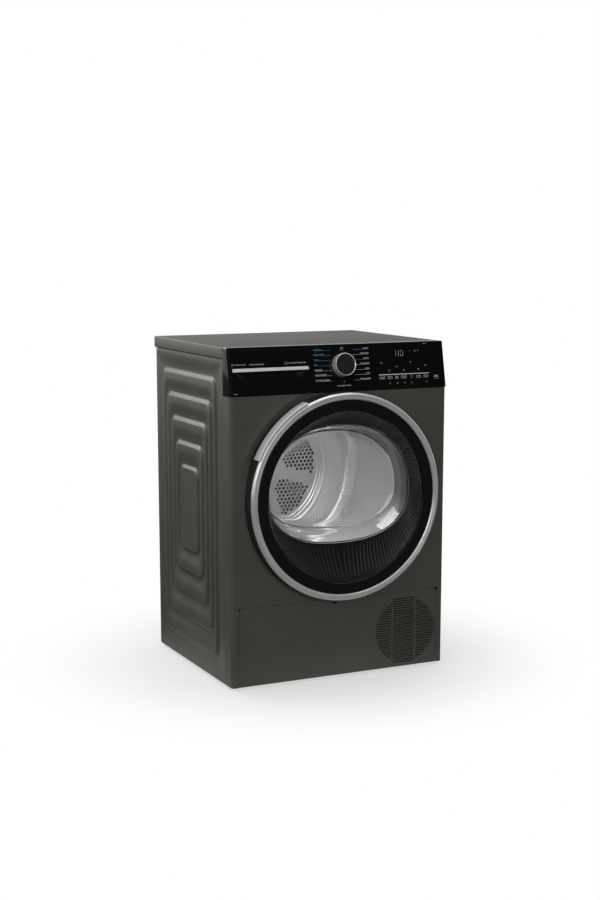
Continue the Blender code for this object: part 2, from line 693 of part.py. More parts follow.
def build_door():
    """Round door: bright rim, dark lens ring, funnel, glass bowl and inner frame."""
    centre = (0.0, 0.0, DOOR_HEIGHT)
    carrier = body("door", (HINGE_X, HINGE_DEPTH, DOOR_HEIGHT))
    radius = DOOR_RADIUS
    inner = DOOR_RADIUS - RING_BAND
    rim = [(radius - 0.0015, RING_BACK), (radius, -0.012), (radius, 0.0135 - DOOR_PROUD),
           (radius - 0.0025, 0.0045 - DOOR_PROUD), (inner + 0.0095, -DOOR_PROUD),
           (inner + 0.0025, 0.0015 - DOOR_PROUD), (inner, 0.0055 - DOOR_PROUD)]
    ring = turned("door_outer_ring", rim, centre, CHROME, carrier, shell=RING_WALL)
    for side in (-1.0, 1.0):
        ends = sorted((side * (LUG_LOW - 0.0015), side * (LUG_HIGH + 0.0015)))
        cut(ring, box("lug_notch_cutter", (HINGE_X - 0.017, -0.0325, DOOR_HEIGHT + ends[0]),
                      (HINGE_X + 0.022, 0.010, DOOR_HEIGHT + ends[1])))

    grip_inner = radius + FIT_GAP
    middle = (0.0, DOOR_HEIGHT)
    sector = arc(middle, radius + GRIP_STAND, GRIP_START, GRIP_END, 8)
    sector += arc(middle, grip_inner + 0.0002, GRIP_END, GRIP_START, 8)
    grip = flat("door_grip", [sector], (0.0, -0.037, 0.0), 0.026, CHROME, carrier)
    edge = grip.modifiers.new("rounded", 'BEVEL')
    edge.width = 0.001
    edge.segments = 1
    edge.limit_method = 'ANGLE'
    edge.angle_limit = math.radians(50.0)

    lens = [(inner - FIT_GAP, -0.0375), (inner - FIT_GAP, -0.0345),
            (LENS_RING_INNER, -0.0335), (LENS_RING_INNER, -0.0365)]
    turned("door_lens_ring", lens, centre, BLACK_GLOSS, carrier)

    front = [(x, -0.0335, DOOR_HEIGHT + z)
             for x, z in circle((0.0, 0.0), LENS_RING_INNER - 0.001, ROUND_STEPS)]
    window = glass_outline(GLASS_HALF_WIDTH, GLASS_UP, GLASS_DOWN, ROUND_STEPS)
    back = [(x, GLASS_FRONT, z) for x, z in window]
    rings = [list(reversed(front)), list(reversed(back))]
    loft("door_funnel", rings, BLACK_MATTE, carrier, FUNNEL_WALL)

    build_glass(carrier)

    wall = FRAME_WALL
    frame = [(FRAME_RADIUS, -0.032), (FRAME_RADIUS, RING_BACK), (PLUG_RADIUS, RING_BACK),
             (PLUG_RADIUS, PLUG_LENGTH), (PLUG_RADIUS - wall, PLUG_LENGTH),
             (PLUG_RADIUS - wall, RING_BACK - wall), (FRAME_RADIUS - wall, RING_BACK - wall),
             (FRAME_RADIUS - wall, -0.032)]
    turned("door_inner_frame", frame, centre, GREY_PLASTIC, carrier)
    seal = [(SEAL_OUTER, RING_BACK + FIT_GAP), (SEAL_OUTER, -FIT_GAP), (SEAL_INNER, -FIT_GAP),
            (SEAL_INNER, RING_BACK + FIT_GAP)]
    turned("door_seal", seal, centre, RUBBER, carrier)

    hook = [(RING_BACK + FIT_GAP, DOOR_HEIGHT - 0.010), (0.0165, DOOR_HEIGHT - 0.010),
            (0.0165, DOOR_HEIGHT + 0.010), (0.010, DOOR_HEIGHT + 0.010),
            (0.010, DOOR_HEIGHT + 0.002), (RING_BACK + FIT_GAP, DOOR_HEIGHT + 0.002)]
    flat("door_hook", [hook], (HOOK_X - 0.003, 0.0, 0.0), 0.006, STEEL, carrier, 'SIDE')

    build_leaf(carrier)


def build_glass(carrier):
    """Clear bowl: straight sides, a rising floor and a slightly crowned end."""
    steps = 40
    rings = []
    rows = ((0.0, 0.0, GLASS_FRONT + 0.0033), (0.5, 0.0, 0.033), (0.95, 0.006, 0.0555),
            (1.0, 0.022, GLASS_BACK + 0.001), (1.0, 0.080, GLASS_BACK + 0.004))
    for share, inset, depth in rows:
        half = GLASS_HALF_WIDTH - 0.005 * share - inset
        up = GLASS_UP - 0.014 * share - inset
        down = GLASS_DOWN - 0.024 * share - inset
        rings.append([(x, depth, z) for x, z in glass_outline(half, up, down, steps)])
    loft("door_glass", [list(reversed(ring)) for ring in rings], GLASS, carrier, GLASS_WALL,
         capped=True)


def build_leaf(carrier):
    """Hinge leaf on the door with its barrel, and the pin through it."""
    low = (FRAME_RADIUS + 0.0005, HINGE_DEPTH - 0.003, DOOR_HEIGHT - LUG_LOW + 0.0005)
    high = (HINGE_X, HINGE_DEPTH + 0.003, DOOR_HEIGHT + LUG_LOW - 0.0005)
    leaf = box("hinge_leaf", low, high, STEEL, carrier)
    barrel = rod("barrel_piece", (HINGE_X, HINGE_DEPTH, low[2] + 0.0001), KNUCKLE_RADIUS,
                 high[2] - low[2] - 0.0002, axis='HEIGHT', steps=16)
    join(leaf, barrel)
    bore = rod("leaf_bore_cutter", (HINGE_X, HINGE_DEPTH, low[2] - 0.01),
               PIN_RADIUS + FIT_GAP, high[2] - low[2] + 0.02, axis='HEIGHT', steps=16)
    cut(leaf, bore)
    rod("hinge_pin", (HINGE_X, HINGE_DEPTH, DOOR_HEIGHT - LUG_HIGH - 0.001), PIN_RADIUS,
        2.0 * (LUG_HIGH + 0.001), STEEL, carrier, axis='HEIGHT', steps=16)


def build_hinge_bracket(cabinet):
    """Plate on the front panel with two lugs that carry the hinge pin."""
    reach = LUG_HIGH + 0.0055
    bracket = box("hinge_bracket", (HINGE_X - 0.0185, -0.003, DOOR_HEIGHT - reach),
                  (HINGE_X - 0.006, -FIT_GAP, DOOR_HEIGHT + reach), STEEL, cabinet)
    for side in (-1.0, 1.0):
        ends = sorted((side * LUG_LOW, side * LUG_HIGH))
        join(bracket, box("lug_piece", (HINGE_X - 0.009, HINGE_DEPTH - KNUCKLE_RADIUS,
                                        DOOR_HEIGHT + ends[0]),
                          (HINGE_X + KNUCKLE_RADIUS, -0.0015, DOOR_HEIGHT + ends[1])))
    cut(bracket, rod("lug_bore_cutter", (HINGE_X, HINGE_DEPTH, DOOR_HEIGHT - 0.06),
                     PIN_RADIUS + FIT_GAP, 0.12, axis='HEIGHT', steps=16))


def build_front_inside(cabinet):
    """Lock, loading sleeve, drum seal, lint filter and the drum's front support."""
    start = SHEET + 0.0006
    lock = box("door_lock", (HOOK_X - 0.020, start, DOOR_HEIGHT - 0.026),
               (HOOK_X + 0.0065, 0.028, DOOR_HEIGHT + 0.026), BLACK_MATTE, cabinet)
    cut(lock, box("lock_slot_cutter", (HOOK_X + HOOK_SLOT[0], -0.01, DOOR_HEIGHT - 0.013),
                  (HOOK_X + HOOK_SLOT[1], 0.020, DOOR_HEIGHT + 0.013)))
    wall = 0.0025
    back = DRUM_FRONT - 0.006
    rim = DRUM_MOUTH + 0.006
    sill = DOOR_HEIGHT - PORT_RADIUS
    sleeve = [(PORT_RADIUS, start), (PORT_RADIUS + 0.0085, start),
              (PORT_RADIUS + 0.0085, start + wall), (PORT_RADIUS + wall, start + wall),
              (PORT_RADIUS + wall, back - wall), (rim, back - wall), (rim, back),
              (PORT_RADIUS, back)]
    bulkhead = turned("front_bulkhead", sleeve, (0.0, 0.0, DOOR_HEIGHT), GREY_PLASTIC, cabinet)
    for side in (-1.0, 1.0):
        x, height = roller_centre(side)
        join(bulkhead, box("roller_ear_piece", (x - 0.020, back - wall + 0.0002, height - 0.018),
                           (x + 0.020, back - 0.0002, height + 0.034)))
    slot = box("filter_slot_cutter", (-0.1015, 0.0185, sill - 0.059), (0.1015, 0.0465, sill + 0.061))
    cut(bulkhead, slot)
    seal = [(DRUM_MOUTH - 0.010, back + FIT_GAP), (DRUM_MOUTH, back + FIT_GAP),
            (DRUM_MOUTH, DRUM_FRONT - FIT_GAP), (DRUM_MOUTH - 0.010, DRUM_FRONT - FIT_GAP)]
    turned("drum_front_seal", seal, (0.0, 0.0, DRUM_HEIGHT), FELT, cabinet)
    lint = box("lint_filter", (-0.100, 0.020, sill - 0.044), (0.100, 0.045, sill + 0.041),
               BLACK_MATTE, cabinet, bevel=0.002, segments=1)
    cut(lint, box("filter_pocket_cutter", (-0.094, 0.0235, sill - 0.0405),
                  (0.094, 0.0415, sill + 0.051)))


# --------------------------------------------------------------- the drum

def roller_centre(side):
    """Place of a support roller under the front of the drum."""
    reach = DRUM_RADIUS + ROLLER_RADIUS + FIT_GAP
    return (side * reach * math.sin(ROLLER_ANGLE), DRUM_HEIGHT - reach * math.cos(ROLLER_ANGLE))


def build_drum():
    """Sheet drum with a turned-in mouth, its perforated rear disc and three lifters."""
    centre = (0.0, 0.0, DRUM_HEIGHT)
    carrier = body("drum", (0.0, DRUM_FRONT, DRUM_HEIGHT))
    wall = DRUM_WALL
    outer = DRUM_RADIUS
    hole = DISC_RADIUS - 0.006
    shell = [(DRUM_MOUTH, DRUM_FRONT), (outer - 0.004, DRUM_FRONT), (outer, DRUM_FRONT + 0.004),
             (outer, DRUM_BACK), (hole, DRUM_BACK + 0.012), (hole, DRUM_BACK + 0.010),
             (outer - wall, DRUM_BACK - wall), (outer - wall, DRUM_FRONT + wall + 0.004),
             (outer - wall - 0.004, DRUM_FRONT + wall), (DRUM_MOUTH, DRUM_FRONT + wall)]
    turned("drum_shell", shell, centre, STEEL, carrier)

    middle = (0.0, DRUM_HEIGHT)
    loops = [circle(middle, DISC_RADIUS, ROUND_STEPS)]
    for sector in range(6):
        for radius, count in ((0.085, 1), (0.135, 3)):
            for index in range(count):
                spread = (index - (count - 1) / 2.0) * 15.0
                turn = math.radians(60.0 * sector + spread)
                place = (radius * math.cos(turn), DRUM_HEIGHT + radius * math.sin(turn))
                loops.append(circle(place, 0.010, 6))
    flat("drum_rear_disc", loops, (0.0, DISC_DEPTH, 0.0), DISC_WALL, STEEL, carrier)

    for index, degrees in enumerate(LIFTER_ANGLES):
        build_lifter(carrier, "drum_lifter_" + str(index + 1), math.radians(degrees))

    start = DISC_DEPTH + DISC_WALL + FIT_GAP
    end = REAR_PANEL_DEPTH - 0.0025
    shaft = [(0.0, start), (0.052, start), (0.052, start + 0.003), (0.010, start + 0.003),
             (0.010, end), (0.0, end)]
    turned("drum_shaft", shaft, centre, STEEL, carrier, steps=SMALL_STEPS)


def build_lifter(carrier, name, turn):
    """Arched paddle that stands on the drum wall."""
    base = DRUM_RADIUS - DRUM_WALL - 0.0032
    half = LIFTER_WIDTH / 2.0
    outline = [(-half, -base), (half, -base), (half * 0.72, -base + LIFTER_HEIGHT * 0.55),
               (half * 0.32, -base + LIFTER_HEIGHT * 0.93), (0.0, -base + LIFTER_HEIGHT),
               (-half * 0.32, -base + LIFTER_HEIGHT * 0.93),
               (-half * 0.72, -base + LIFTER_HEIGHT * 0.55)]
    spin = turn + math.pi / 2.0
    c, s = math.cos(spin), math.sin(spin)
    spun = [(u * c - v * s, DRUM_HEIGHT + u * s + v * c) for u, v in outline]
    paddle = flat(name, [spun], (0.0, DRUM_BACK - 0.028 - LIFTER_LENGTH, 0.0), LIFTER_LENGTH,
                  GREY_PLASTIC, carrier)
    edge = paddle.modifiers.new("rounded", 'BEVEL')
    edge.width = 0.003
    edge.segments = 1
    edge.limit_method = 'ANGLE'
    edge.angle_limit = math.radians(50.0)


def build_rollers():
    """Two rollers with their axle stubs under the drum's front edge."""
    for side, name in ((-1.0, "support_roller_left"), (1.0, "support_roller_right")):
        x, height = roller_centre(side)
        place = (x, 0.0, height)
        carrier = body(name + "_body", place)
        wheel = [(0.0, DRUM_FRONT - 0.0055), (0.004, DRUM_FRONT - 0.0055),
                 (0.004, 0.080), (ROLLER_RADIUS - 0.001, 0.080), (ROLLER_RADIUS, 0.081),
                 (ROLLER_RADIUS, 0.099), (ROLLER_RADIUS - 0.001, 0.100), (0.0, 0.100)]
        turned(name, wheel, place, RUBBER, carrier, steps=SMALL_STEPS)


def belt_tangents(grow):
    """Angles where a belt loop grown outward leaves the drum for the motor pulley."""
    across = MOTOR_X
    down = MOTOR_HEIGHT - DRUM_HEIGHT
    distance = math.hypot(across, down)
    towards = math.atan2(down, across)
    big = DRUM_RADIUS + BELT_LIFT + grow
    small = PULLEY_RADIUS + FIT_GAP + grow
    spread = math.acos((big - small) / distance)
    return towards, spread, big, small


def belt_loop(grow):
    """The belt's path round the drum and the motor pulley."""
    towards, spread, big, small = belt_tangents(grow)
    drum = arc((0.0, DRUM_HEIGHT), big, towards + spread, towards - spread + 2.0 * math.pi, 44)
    pulley = arc((MOTOR_X, MOTOR_HEIGHT), small, towards - spread, towards + spread, 6)
    return drum + pulley


def build_drive(cabinet):
    """Motor, belt, rear bearing, blower housing and the sprung idler."""
    flat("drum_belt", [belt_loop(BELT_THICKNESS), belt_loop(0.0)],
         (0.0, BELT_DEPTH - BELT_WIDTH / 2.0, 0.0), BELT_WIDTH, RUBBER, cabinet)
    bore = 0.010 + 0.0008
    start = REAR_PANEL_DEPTH - 0.0185
    end = REAR_PANEL_DEPTH - FIT_GAP
    turned("drum_bearing", [(bore, start), (0.030, start), (0.034, end), (bore, end)],
           (0.0, 0.0, DRUM_HEIGHT), ALUMINIUM, cabinet, steps=SMALL_STEPS)

    place = (MOTOR_X, 0.0, MOTOR_HEIGHT)
    front = 0.215
    back = BELT_DEPTH - BELT_WIDTH / 2.0 - 0.010
    hole = 0.0055
    casing = [(hole, front), (MOTOR_RADIUS - 0.015, front), (MOTOR_RADIUS, front + 0.015),
              (MOTOR_RADIUS, back - 0.015), (MOTOR_RADIUS - 0.015, back), (hole, back)]
    motor = turned("drive_motor", casing, place, STEEL, cabinet, steps=SMALL_STEPS)
    join(motor, box("motor_foot_piece", (MOTOR_X - 0.035, front + 0.030, TRAY_BOTTOM
                                         + TRAY_WALL + FIT_GAP),
                    (MOTOR_X + 0.035, back - 0.030, MOTOR_HEIGHT - MOTOR_RADIUS + 0.006)))
    rotor = body("motor_rotor", place)
    rod("motor_shaft", (MOTOR_X, front - 0.006, MOTOR_HEIGHT), 0.005, FAN_BACK + 0.004
        - front + 0.006, STEEL, rotor, steps=16)
    low = BELT_DEPTH - BELT_WIDTH / 2.0 - 0.002
    high = BELT_DEPTH + BELT_WIDTH / 2.0 + 0.002
    turned("motor_pulley", [(0.0053, low), (PULLEY_RADIUS + 0.003, low),
                            (PULLEY_RADIUS + 0.003, low + 0.0015), (PULLEY_RADIUS, low + 0.0018),
                            (PULLEY_RADIUS, high - 0.0018),
                            (PULLEY_RADIUS + 0.003, high - 0.0015),
                            (PULLEY_RADIUS + 0.003, high), (0.0053, high)],
           place, STEEL, rotor, steps=SMALL_STEPS)
    build_blower(cabinet, rotor, place)
    build_idler()


def build_blower(cabinet, rotor, place):
    """Bladed wheel on the motor shaft inside a round housing that is open in front."""
    wheel = turned("blower_wheel", [(0.0053, FAN_BACK - 0.012), (0.014, FAN_BACK - 0.012),
                                    (0.014, FAN_BACK - 0.003), (FAN_RADIUS, FAN_BACK - 0.003),
                                    (FAN_RADIUS, FAN_BACK), (0.0053, FAN_BACK)],
                   place, BLACK_MATTE, rotor, steps=SMALL_STEPS)
    blades = 10
    for index in range(blades):
        turn = 2.0 * math.pi * index / blades
        blade = box("blade_piece", (-0.008, FAN_FRONT, -0.001), (0.008, FAN_BACK - 0.001, 0.001))
        reach = FAN_RADIUS - 0.011
        blade.location.x = place[0] + reach * math.cos(turn)
        blade.location.z = place[2] + reach * math.sin(turn)
        blade.rotation_euler = (0.0, -turn, 0.0)
        join(wheel, blade)
    inner = FAN_RADIUS + 0.008
    back = FAN_BACK + 0.008
    housing = [(inner, FAN_FRONT - 0.004), (inner + 0.0025, FAN_FRONT - 0.004),
               (inner + 0.0025, back), (0.010, back), (0.010, back - 0.0025),
               (inner, back - 0.0025)]
    turned("blower_housing", housing, place, GREY_PLASTIC, cabinet, steps=SMALL_STEPS)


def build_idler():
    """Roller that presses the slack side of the belt, on its sprung arm."""
    towards, spread, big, small = belt_tangents(BELT_THICKNESS)
    normal = towards + spread
    out = (math.cos(normal), math.sin(normal))
    leave = (big * out[0], DRUM_HEIGHT + big * out[1])
    arrive = (MOTOR_X + small * out[0], MOTOR_HEIGHT + small * out[1])
    touch = [leave[i] + (arrive[i] - leave[i]) * IDLER_SHARE for i in range(2)]
    stand = IDLER_RADIUS + 0.0006
    centre = (touch[0] + stand * out[0], touch[1] + stand * out[1])
    pivot = (centre[0] + IDLER_PIVOT[0], centre[1] + IDLER_PIVOT[1])
    arm_carrier = body("idler_arm_body", (pivot[0], 0.0, pivot[1]))
    back = BELT_DEPTH + BELT_WIDTH / 2.0
    along = (centre[0] - pivot[0], centre[1] - pivot[1])
    lean = math.atan2(along[1], along[0])
    side = lean - math.pi / 2.0
    loop = arc(centre, 0.007, side, side + math.pi, 4)
    loop += arc(pivot, 0.007, side + math.pi, side + 2.0 * math.pi, 4)
    arm = flat("idler_arm", [loop], (0.0, back + 0.002, 0.0), 0.004, STEEL, arm_carrier)
    join(arm, rod("idler_pin_piece", (centre[0], BELT_DEPTH - BELT_WIDTH / 2.0, centre[1]),
                  0.003, BELT_WIDTH + 0.004, steps=12))
    roller_carrier = body("idler_roller_body", (centre[0], 0.0, centre[1]))
    low = BELT_DEPTH - BELT_WIDTH / 2.0
    turned("idler_roller", [(0.0035, low), (IDLER_RADIUS, low), (IDLER_RADIUS, back + 0.0005),
                            (0.0035, back + 0.0005)],
           (centre[0], 0.0, centre[1]), BLACK_MATTE, roller_carrier, steps=SMALL_STEPS)


# ------------------------------------------------------------ the heat pump

def build_heat_pump(cabinet):
    """Compressor, two finned blocks and the filter in front of them."""
    floor = TRAY_BOTTOM + TRAY_WALL + FIT_GAP
    can = [(0.0, floor), (0.050, floor), (0.050, floor + 0.010), (0.062, floor + 0.020),
           (0.062, 0.185), (0.052, 0.205), (0.020, 0.214), (0.0, 0.214)]
    turned("compressor", can, (0.210, 0.170, 0.0), BLACK_MATTE, cabinet, axis='HEIGHT',
           steps=SMALL_STEPS)
    block_low, block_high = -0.272, -0.045
    fins = (("heat_pump_filter", 0.054, 0.082, BLACK_MATTE), ("evaporator", 0.090, 0.190, ALUMINIUM),
            ("condenser", 0.200, 0.330, ALUMINIUM))
    for name, front, back, finish in fins:
        box(name, (block_low, front, floor + 0.002), (block_high, back, 0.178), finish, cabinet)


# ------------------------------------------------------------ the kick plate

def vent_slots():
    """Rows of slots inside the round vent, each split by the two upright bars."""
    rows = int(VENT_RADIUS * 2.0 / VENT_PITCH)
    slots = []
    for row in range(rows):
        height = (row - (rows - 1) / 2.0) * VENT_PITCH
        reach = math.sqrt(VENT_RADIUS ** 2 - (abs(height) + VENT_SLOT / 2.0) ** 2)
        edges = [VENT_X - reach]
        for bar in VENT_BARS:
            edges += [bar - VENT_BAR_WIDTH / 2.0, bar + VENT_BAR_WIDTH / 2.0]
        edges.append(VENT_X + reach)
        middle = VENT_HEIGHT + height
        for left, right in zip(edges[0::2], edges[1::2]):
            if right - left > VENT_SLOT:
                slots.append((left, right, middle - VENT_SLOT / 2.0, middle + VENT_SLOT / 2.0))
    return slots


def build_kick_plate():
    """Shallow moulding with the round vent, and the latch tab in its top edge."""
    carrier = body("kick_plate_body", KICK_AXIS)
    outline = kick_outline(KICK_HALF_WIDTH, KICK_BOTTOM, KICK_TOP, KICK_CORNER)
    plate = flat("kick_plate", [outline], (0.0, 0.0, 0.0), KICK_DEPTH, OLIVE, carrier)
    inner = kick_outline(KICK_HALF_WIDTH - KICK_WALL, KICK_BOTTOM + KICK_WALL,
                         KICK_TOP - KICK_WALL, KICK_CORNER - KICK_WALL)
    cut(plate, flat("kick_hollow_cutter", [inner], (0.0, KICK_WALL, 0.0), KICK_DEPTH))
    windows = vent_slots()
    gap = 0.0006
    windows.append((LATCH_X - LATCH_WIDTH / 2.0 - gap, LATCH_X + LATCH_WIDTH / 2.0 + gap,
                    LATCH_LOW - gap, LATCH_HIGH + gap))
    bm = bmesh.new()
    for left, right, low, high in windows:
        made = bmesh.ops.create_cube(bm, size=1.0)["verts"]
        bmesh.ops.scale(bm, vec=(right - left, 4.0 * KICK_WALL, high - low), verts=made)
        bmesh.ops.translate(bm, vec=((left + right) / 2.0, 0.0, (low + high) / 2.0), verts=made)
    slots = mesh_object(bm, "vent_cutter")
    cut(plate, settle(slots, "vent_cutter", None, (0.0, 0.0, 0.0), None))

    latch_carrier = body("kick_latch_body", (LATCH_X, 0.0, LATCH_LOW))
    tab = box("kick_latch", (LATCH_X - LATCH_WIDTH / 2.0, 0.0006, LATCH_LOW),
              (LATCH_X + LATCH_WIDTH / 2.0, 0.0106, LATCH_HIGH), BLACK_MATTE, latch_carrier)
    edge = tab.modifiers.new("rounded", 'BEVEL')
    edge.width = 0.0006
    edge.segments = 1


def main():
    """Build every sub-part."""
    cabinet = body("cabinet", (0.0, 0.0, 0.0))
    build_worktop(cabinet)
    build_side_panel(cabinet, -1.0, "side_panel_left")
    build_side_panel(cabinet, 1.0, "side_panel_right")
    build_front_panel(cabinet)
    build_back(cabinet)
    build_base(cabinet)
    build_feet()
    build_fascia(cabinet)
    build_selector()
    build_water_tank()
    build_tank_runner(cabinet)
    build_door()
    build_hinge_bracket(cabinet)
    build_front_inside(cabinet)
    build_drum()
    build_rollers()
    build_drive(cabinet)
    build_heat_pump(cabinet)
    build_kick_plate()


main()
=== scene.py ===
"""Clothes dryer: the finished surfaces of every piece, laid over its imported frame.

The front faces -Y, +X is on the right of someone facing it and +Z is up.  A place is
given as (x, depth, height): depth runs back from the flat front panel.
"""
import json
import math

import bmesh
import bpy
import numpy as np
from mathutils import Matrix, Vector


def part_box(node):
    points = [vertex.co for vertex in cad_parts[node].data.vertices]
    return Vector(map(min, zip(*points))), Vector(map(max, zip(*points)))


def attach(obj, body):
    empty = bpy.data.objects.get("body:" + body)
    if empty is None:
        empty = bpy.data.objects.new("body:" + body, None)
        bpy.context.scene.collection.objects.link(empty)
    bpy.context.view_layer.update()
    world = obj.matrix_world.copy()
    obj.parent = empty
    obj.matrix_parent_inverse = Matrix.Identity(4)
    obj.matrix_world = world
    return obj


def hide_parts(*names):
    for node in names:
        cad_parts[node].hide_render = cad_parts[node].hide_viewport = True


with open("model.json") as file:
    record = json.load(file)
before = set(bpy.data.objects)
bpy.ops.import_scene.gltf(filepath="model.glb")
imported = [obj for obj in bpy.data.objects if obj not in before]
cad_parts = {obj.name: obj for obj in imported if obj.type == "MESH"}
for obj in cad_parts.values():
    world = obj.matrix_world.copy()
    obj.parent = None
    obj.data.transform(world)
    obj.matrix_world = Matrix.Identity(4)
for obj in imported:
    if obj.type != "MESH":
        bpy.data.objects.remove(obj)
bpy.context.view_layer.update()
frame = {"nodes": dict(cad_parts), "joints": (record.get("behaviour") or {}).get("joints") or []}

bl_info = {
    "name": "Clothes dryer",
    "version": (1, 0, 0),
    "blender": (4, 5, 0),
    "location": "3D View > Sidebar > Dryer",
    "description": "Builds the finished surfaces of a heat-pump clothes dryer",
    "category": "Object",
}

FRONT_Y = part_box("kick_plate")[0].y
JOINTS = {joint["name"]: joint for joint in frame["joints"]}
TAU = 2.0 * math.pi


def span(node, axis):
    """Lowest and highest value of a frame node along x, depth or height."""
    low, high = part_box(node)
    shift = FRONT_Y if axis == 1 else 0.0
    return low[axis] - shift, high[axis] - shift


HALF = span("worktop", 0)[1]
SLOPE = -JOINTS["selector_turn"]["axis"][2] / JOINTS["selector_turn"]["axis"][1]
FASCIA_LOW, FASCIA_HIGH = span("fascia", 2)
DOOR_HEIGHT = sum(span("door_outer_ring", 2)) / 2.0
RING_RADIUS = span("door_outer_ring", 0)[1]
RING_FRONT, RING_BACK = span("door_outer_ring", 1)
LENS_OUTER = span("door_lens_ring", 0)[1]
LENS_FRONT = span("door_lens_ring", 1)[0]
DRUM_HEIGHT = sum(span("drum_shell", 2)) / 2.0
DRUM_RADIUS = span("drum_shell", 0)[1]
DRUM_FRONT, DRUM_BACK = span("drum_shell", 1)
WINDOW_HEIGHT = 0.478
WINDOW_HALF_WIDTH, WINDOW_UP, WINDOW_DOWN = 0.197, 0.173, 0.128
PORT_RADIUS = 0.2165


# ----------------------------------------------------------------- settings

class DryerCabinetSettings(bpy.types.PropertyGroup):
    """Sizes and colour of the sheet-metal cabinet."""
    enamel: bpy.props.FloatVectorProperty(
        name="Enamel", description="Colour of the painted cabinet", subtype='COLOR',
        size=3, min=0.0, max=1.0, default=(0.104, 0.106, 0.089))
    crease_depth: bpy.props.FloatProperty(
        name="Crease depth", description="How deep the side panels are pressed",
        unit='LENGTH', default=0.0044)
    recess_depth: bpy.props.FloatProperty(
        name="Finger recess", description="Depth of the hollow behind the door grip",
        unit='LENGTH', default=0.009)
    vent_radius: bpy.props.FloatProperty(
        name="Vent radius", description="Radius of the round vent", unit='LENGTH',
        default=0.087)
    vent_pitch: bpy.props.FloatProperty(
        name="Vent pitch", description="Distance from one vent slot to the next",
        unit='LENGTH', default=0.0062)
    vent_slot: bpy.props.FloatProperty(
        name="Vent slot", description="Height of one vent slot", unit='LENGTH',
        default=0.0027)


class DryerPanelSettings(bpy.types.PropertyGroup):
    """Colours and marks of the control panel."""
    ink: bpy.props.FloatVectorProperty(
        name="Ink", description="Colour of the printed marks", subtype='COLOR',
        size=3, min=0.0, max=1.0, default=(0.66, 0.67, 0.68))
    accent: bpy.props.FloatVectorProperty(
        name="Accent", description="Colour of the highlighted marks", subtype='COLOR',
        size=3, min=0.0, max=1.0, default=(0.07, 0.38, 0.58))
    stroke: bpy.props.FloatProperty(
        name="Stroke", description="Width of a printed stroke", unit='LENGTH',
        default=0.00050)


class DryerDoorSettings(bpy.types.PropertyGroup):
    """Shape of the round door."""
    rib_count: bpy.props.IntProperty(
        name="Ribs", description="Number of ribs in the door funnel", default=124)
    rib_height: bpy.props.FloatProperty(
        name="Rib height", description="How far each rib stands up", unit='LENGTH',
        default=0.0016)
    segments: bpy.props.IntProperty(
        name="Segments", description="Sides round each turned ring", default=224)


class DryerDrumSettings(bpy.types.PropertyGroup):
    """Shape of the drum."""
    hole_pitch: bpy.props.FloatProperty(
        name="Hole pitch", description="Distance between holes in the rear disc",
        unit='LENGTH', default=0.0120)
    hole_radius: bpy.props.FloatProperty(
        name="Hole radius", description="Radius of the holes in the rear disc",
        unit='LENGTH', default=0.0045)
    lifter_height: bpy.props.FloatProperty(
        name="Lifter height", description="How far a lifter stands off the drum wall",
        unit='LENGTH', default=0.044)


class DryerStageSettings(bpy.types.PropertyGroup):
    """Floor colour and camera."""
    floor: bpy.props.FloatVectorProperty(
        name="Floor", description="Colour of the floor", subtype='COLOR',
        size=3, min=0.0, max=1.0, default=(0.86, 0.86, 0.86))
    camera_place: bpy.props.FloatVectorProperty(
        name="Camera", description="Where the camera stands", subtype='TRANSLATION',
        size=3, unit='LENGTH', default=(-1.737, -3.636, 1.116))
    camera_aim: bpy.props.FloatVectorProperty(
        name="Aim", description="The point that the camera looks at",
        subtype='TRANSLATION', size=3, unit='LENGTH', default=(0.021, 0.017, 0.387))
    lens: bpy.props.FloatProperty(
        name="Lens", description="Focal length in millimetres", unit='CAMERA', default=61.6)
    shift: bpy.props.FloatProperty(
        name="Shift", description="Upward shift of the view, as a share of its height",
        subtype='FACTOR', default=0.0667)


# ------------------------------------------------------------ mesh building

def at(x, depth, height):
    """Stack coordinates of equal shape, or numbers, into points in the frame."""
    return np.stack(np.broadcast_arrays(x, FRONT_Y + np.asarray(depth, float), height), -1)


def ease(value):
    """Smooth step: 0 below 0, 1 above 1, and 3v squared less 2v cubed between them."""
    v = np.clip(value, 0.0, 1.0)
    return v * v * (3.0 - 2.0 * v)


def quads(rows, columns, wrap_rows=False, wrap_columns=False, first=0):
    """Corner numbers of the quads between neighbours on a rows by columns grid."""
    i, j = np.meshgrid(np.arange(rows - (not wrap_rows)), np.arange(columns - (not wrap_columns)),
                       indexing="ij")
    below, beside = (i + 1) % rows, (j + 1) % columns
    corners = (i * columns + j, below * columns + j, below * columns + beside,
               i * columns + beside)
    return first + np.stack(corners, -1).reshape(-1, 4)


def shade(obj, crease):
    """Shade smooth, with edges sharper than the crease angle in degrees left sharp."""
    obj.data.shade_smooth()
    obj.data.set_sharp_from_angle(angle=math.radians(crease))


def store(name, points, faces, crease=35.0):
    """Put points and faces into a mesh whose faces point outwards."""
    mesh = bpy.data.meshes.new(name)
    mesh.from_pydata(np.asarray(points, float).reshape(-1, 3).tolist(), [], faces)
    bm = bmesh.new()
    bm.from_mesh(mesh)
    inside_out = bm.calc_volume(signed=True) < 0.0
    bm.free()
    if inside_out:
        mesh.flip_normals()
    obj = bpy.data.objects.new(name, mesh)
    bpy.context.scene.collection.objects.link(obj)
    shade(obj, crease)
    return obj


def closed_ring(name, loops, crease=35.0):
    """Solid ring: loops of points joined each to the next and the last to the first."""
    rows, columns = loops.shape[:2]
    return store(name, loops, quads(rows, columns, True, True).tolist(), crease)


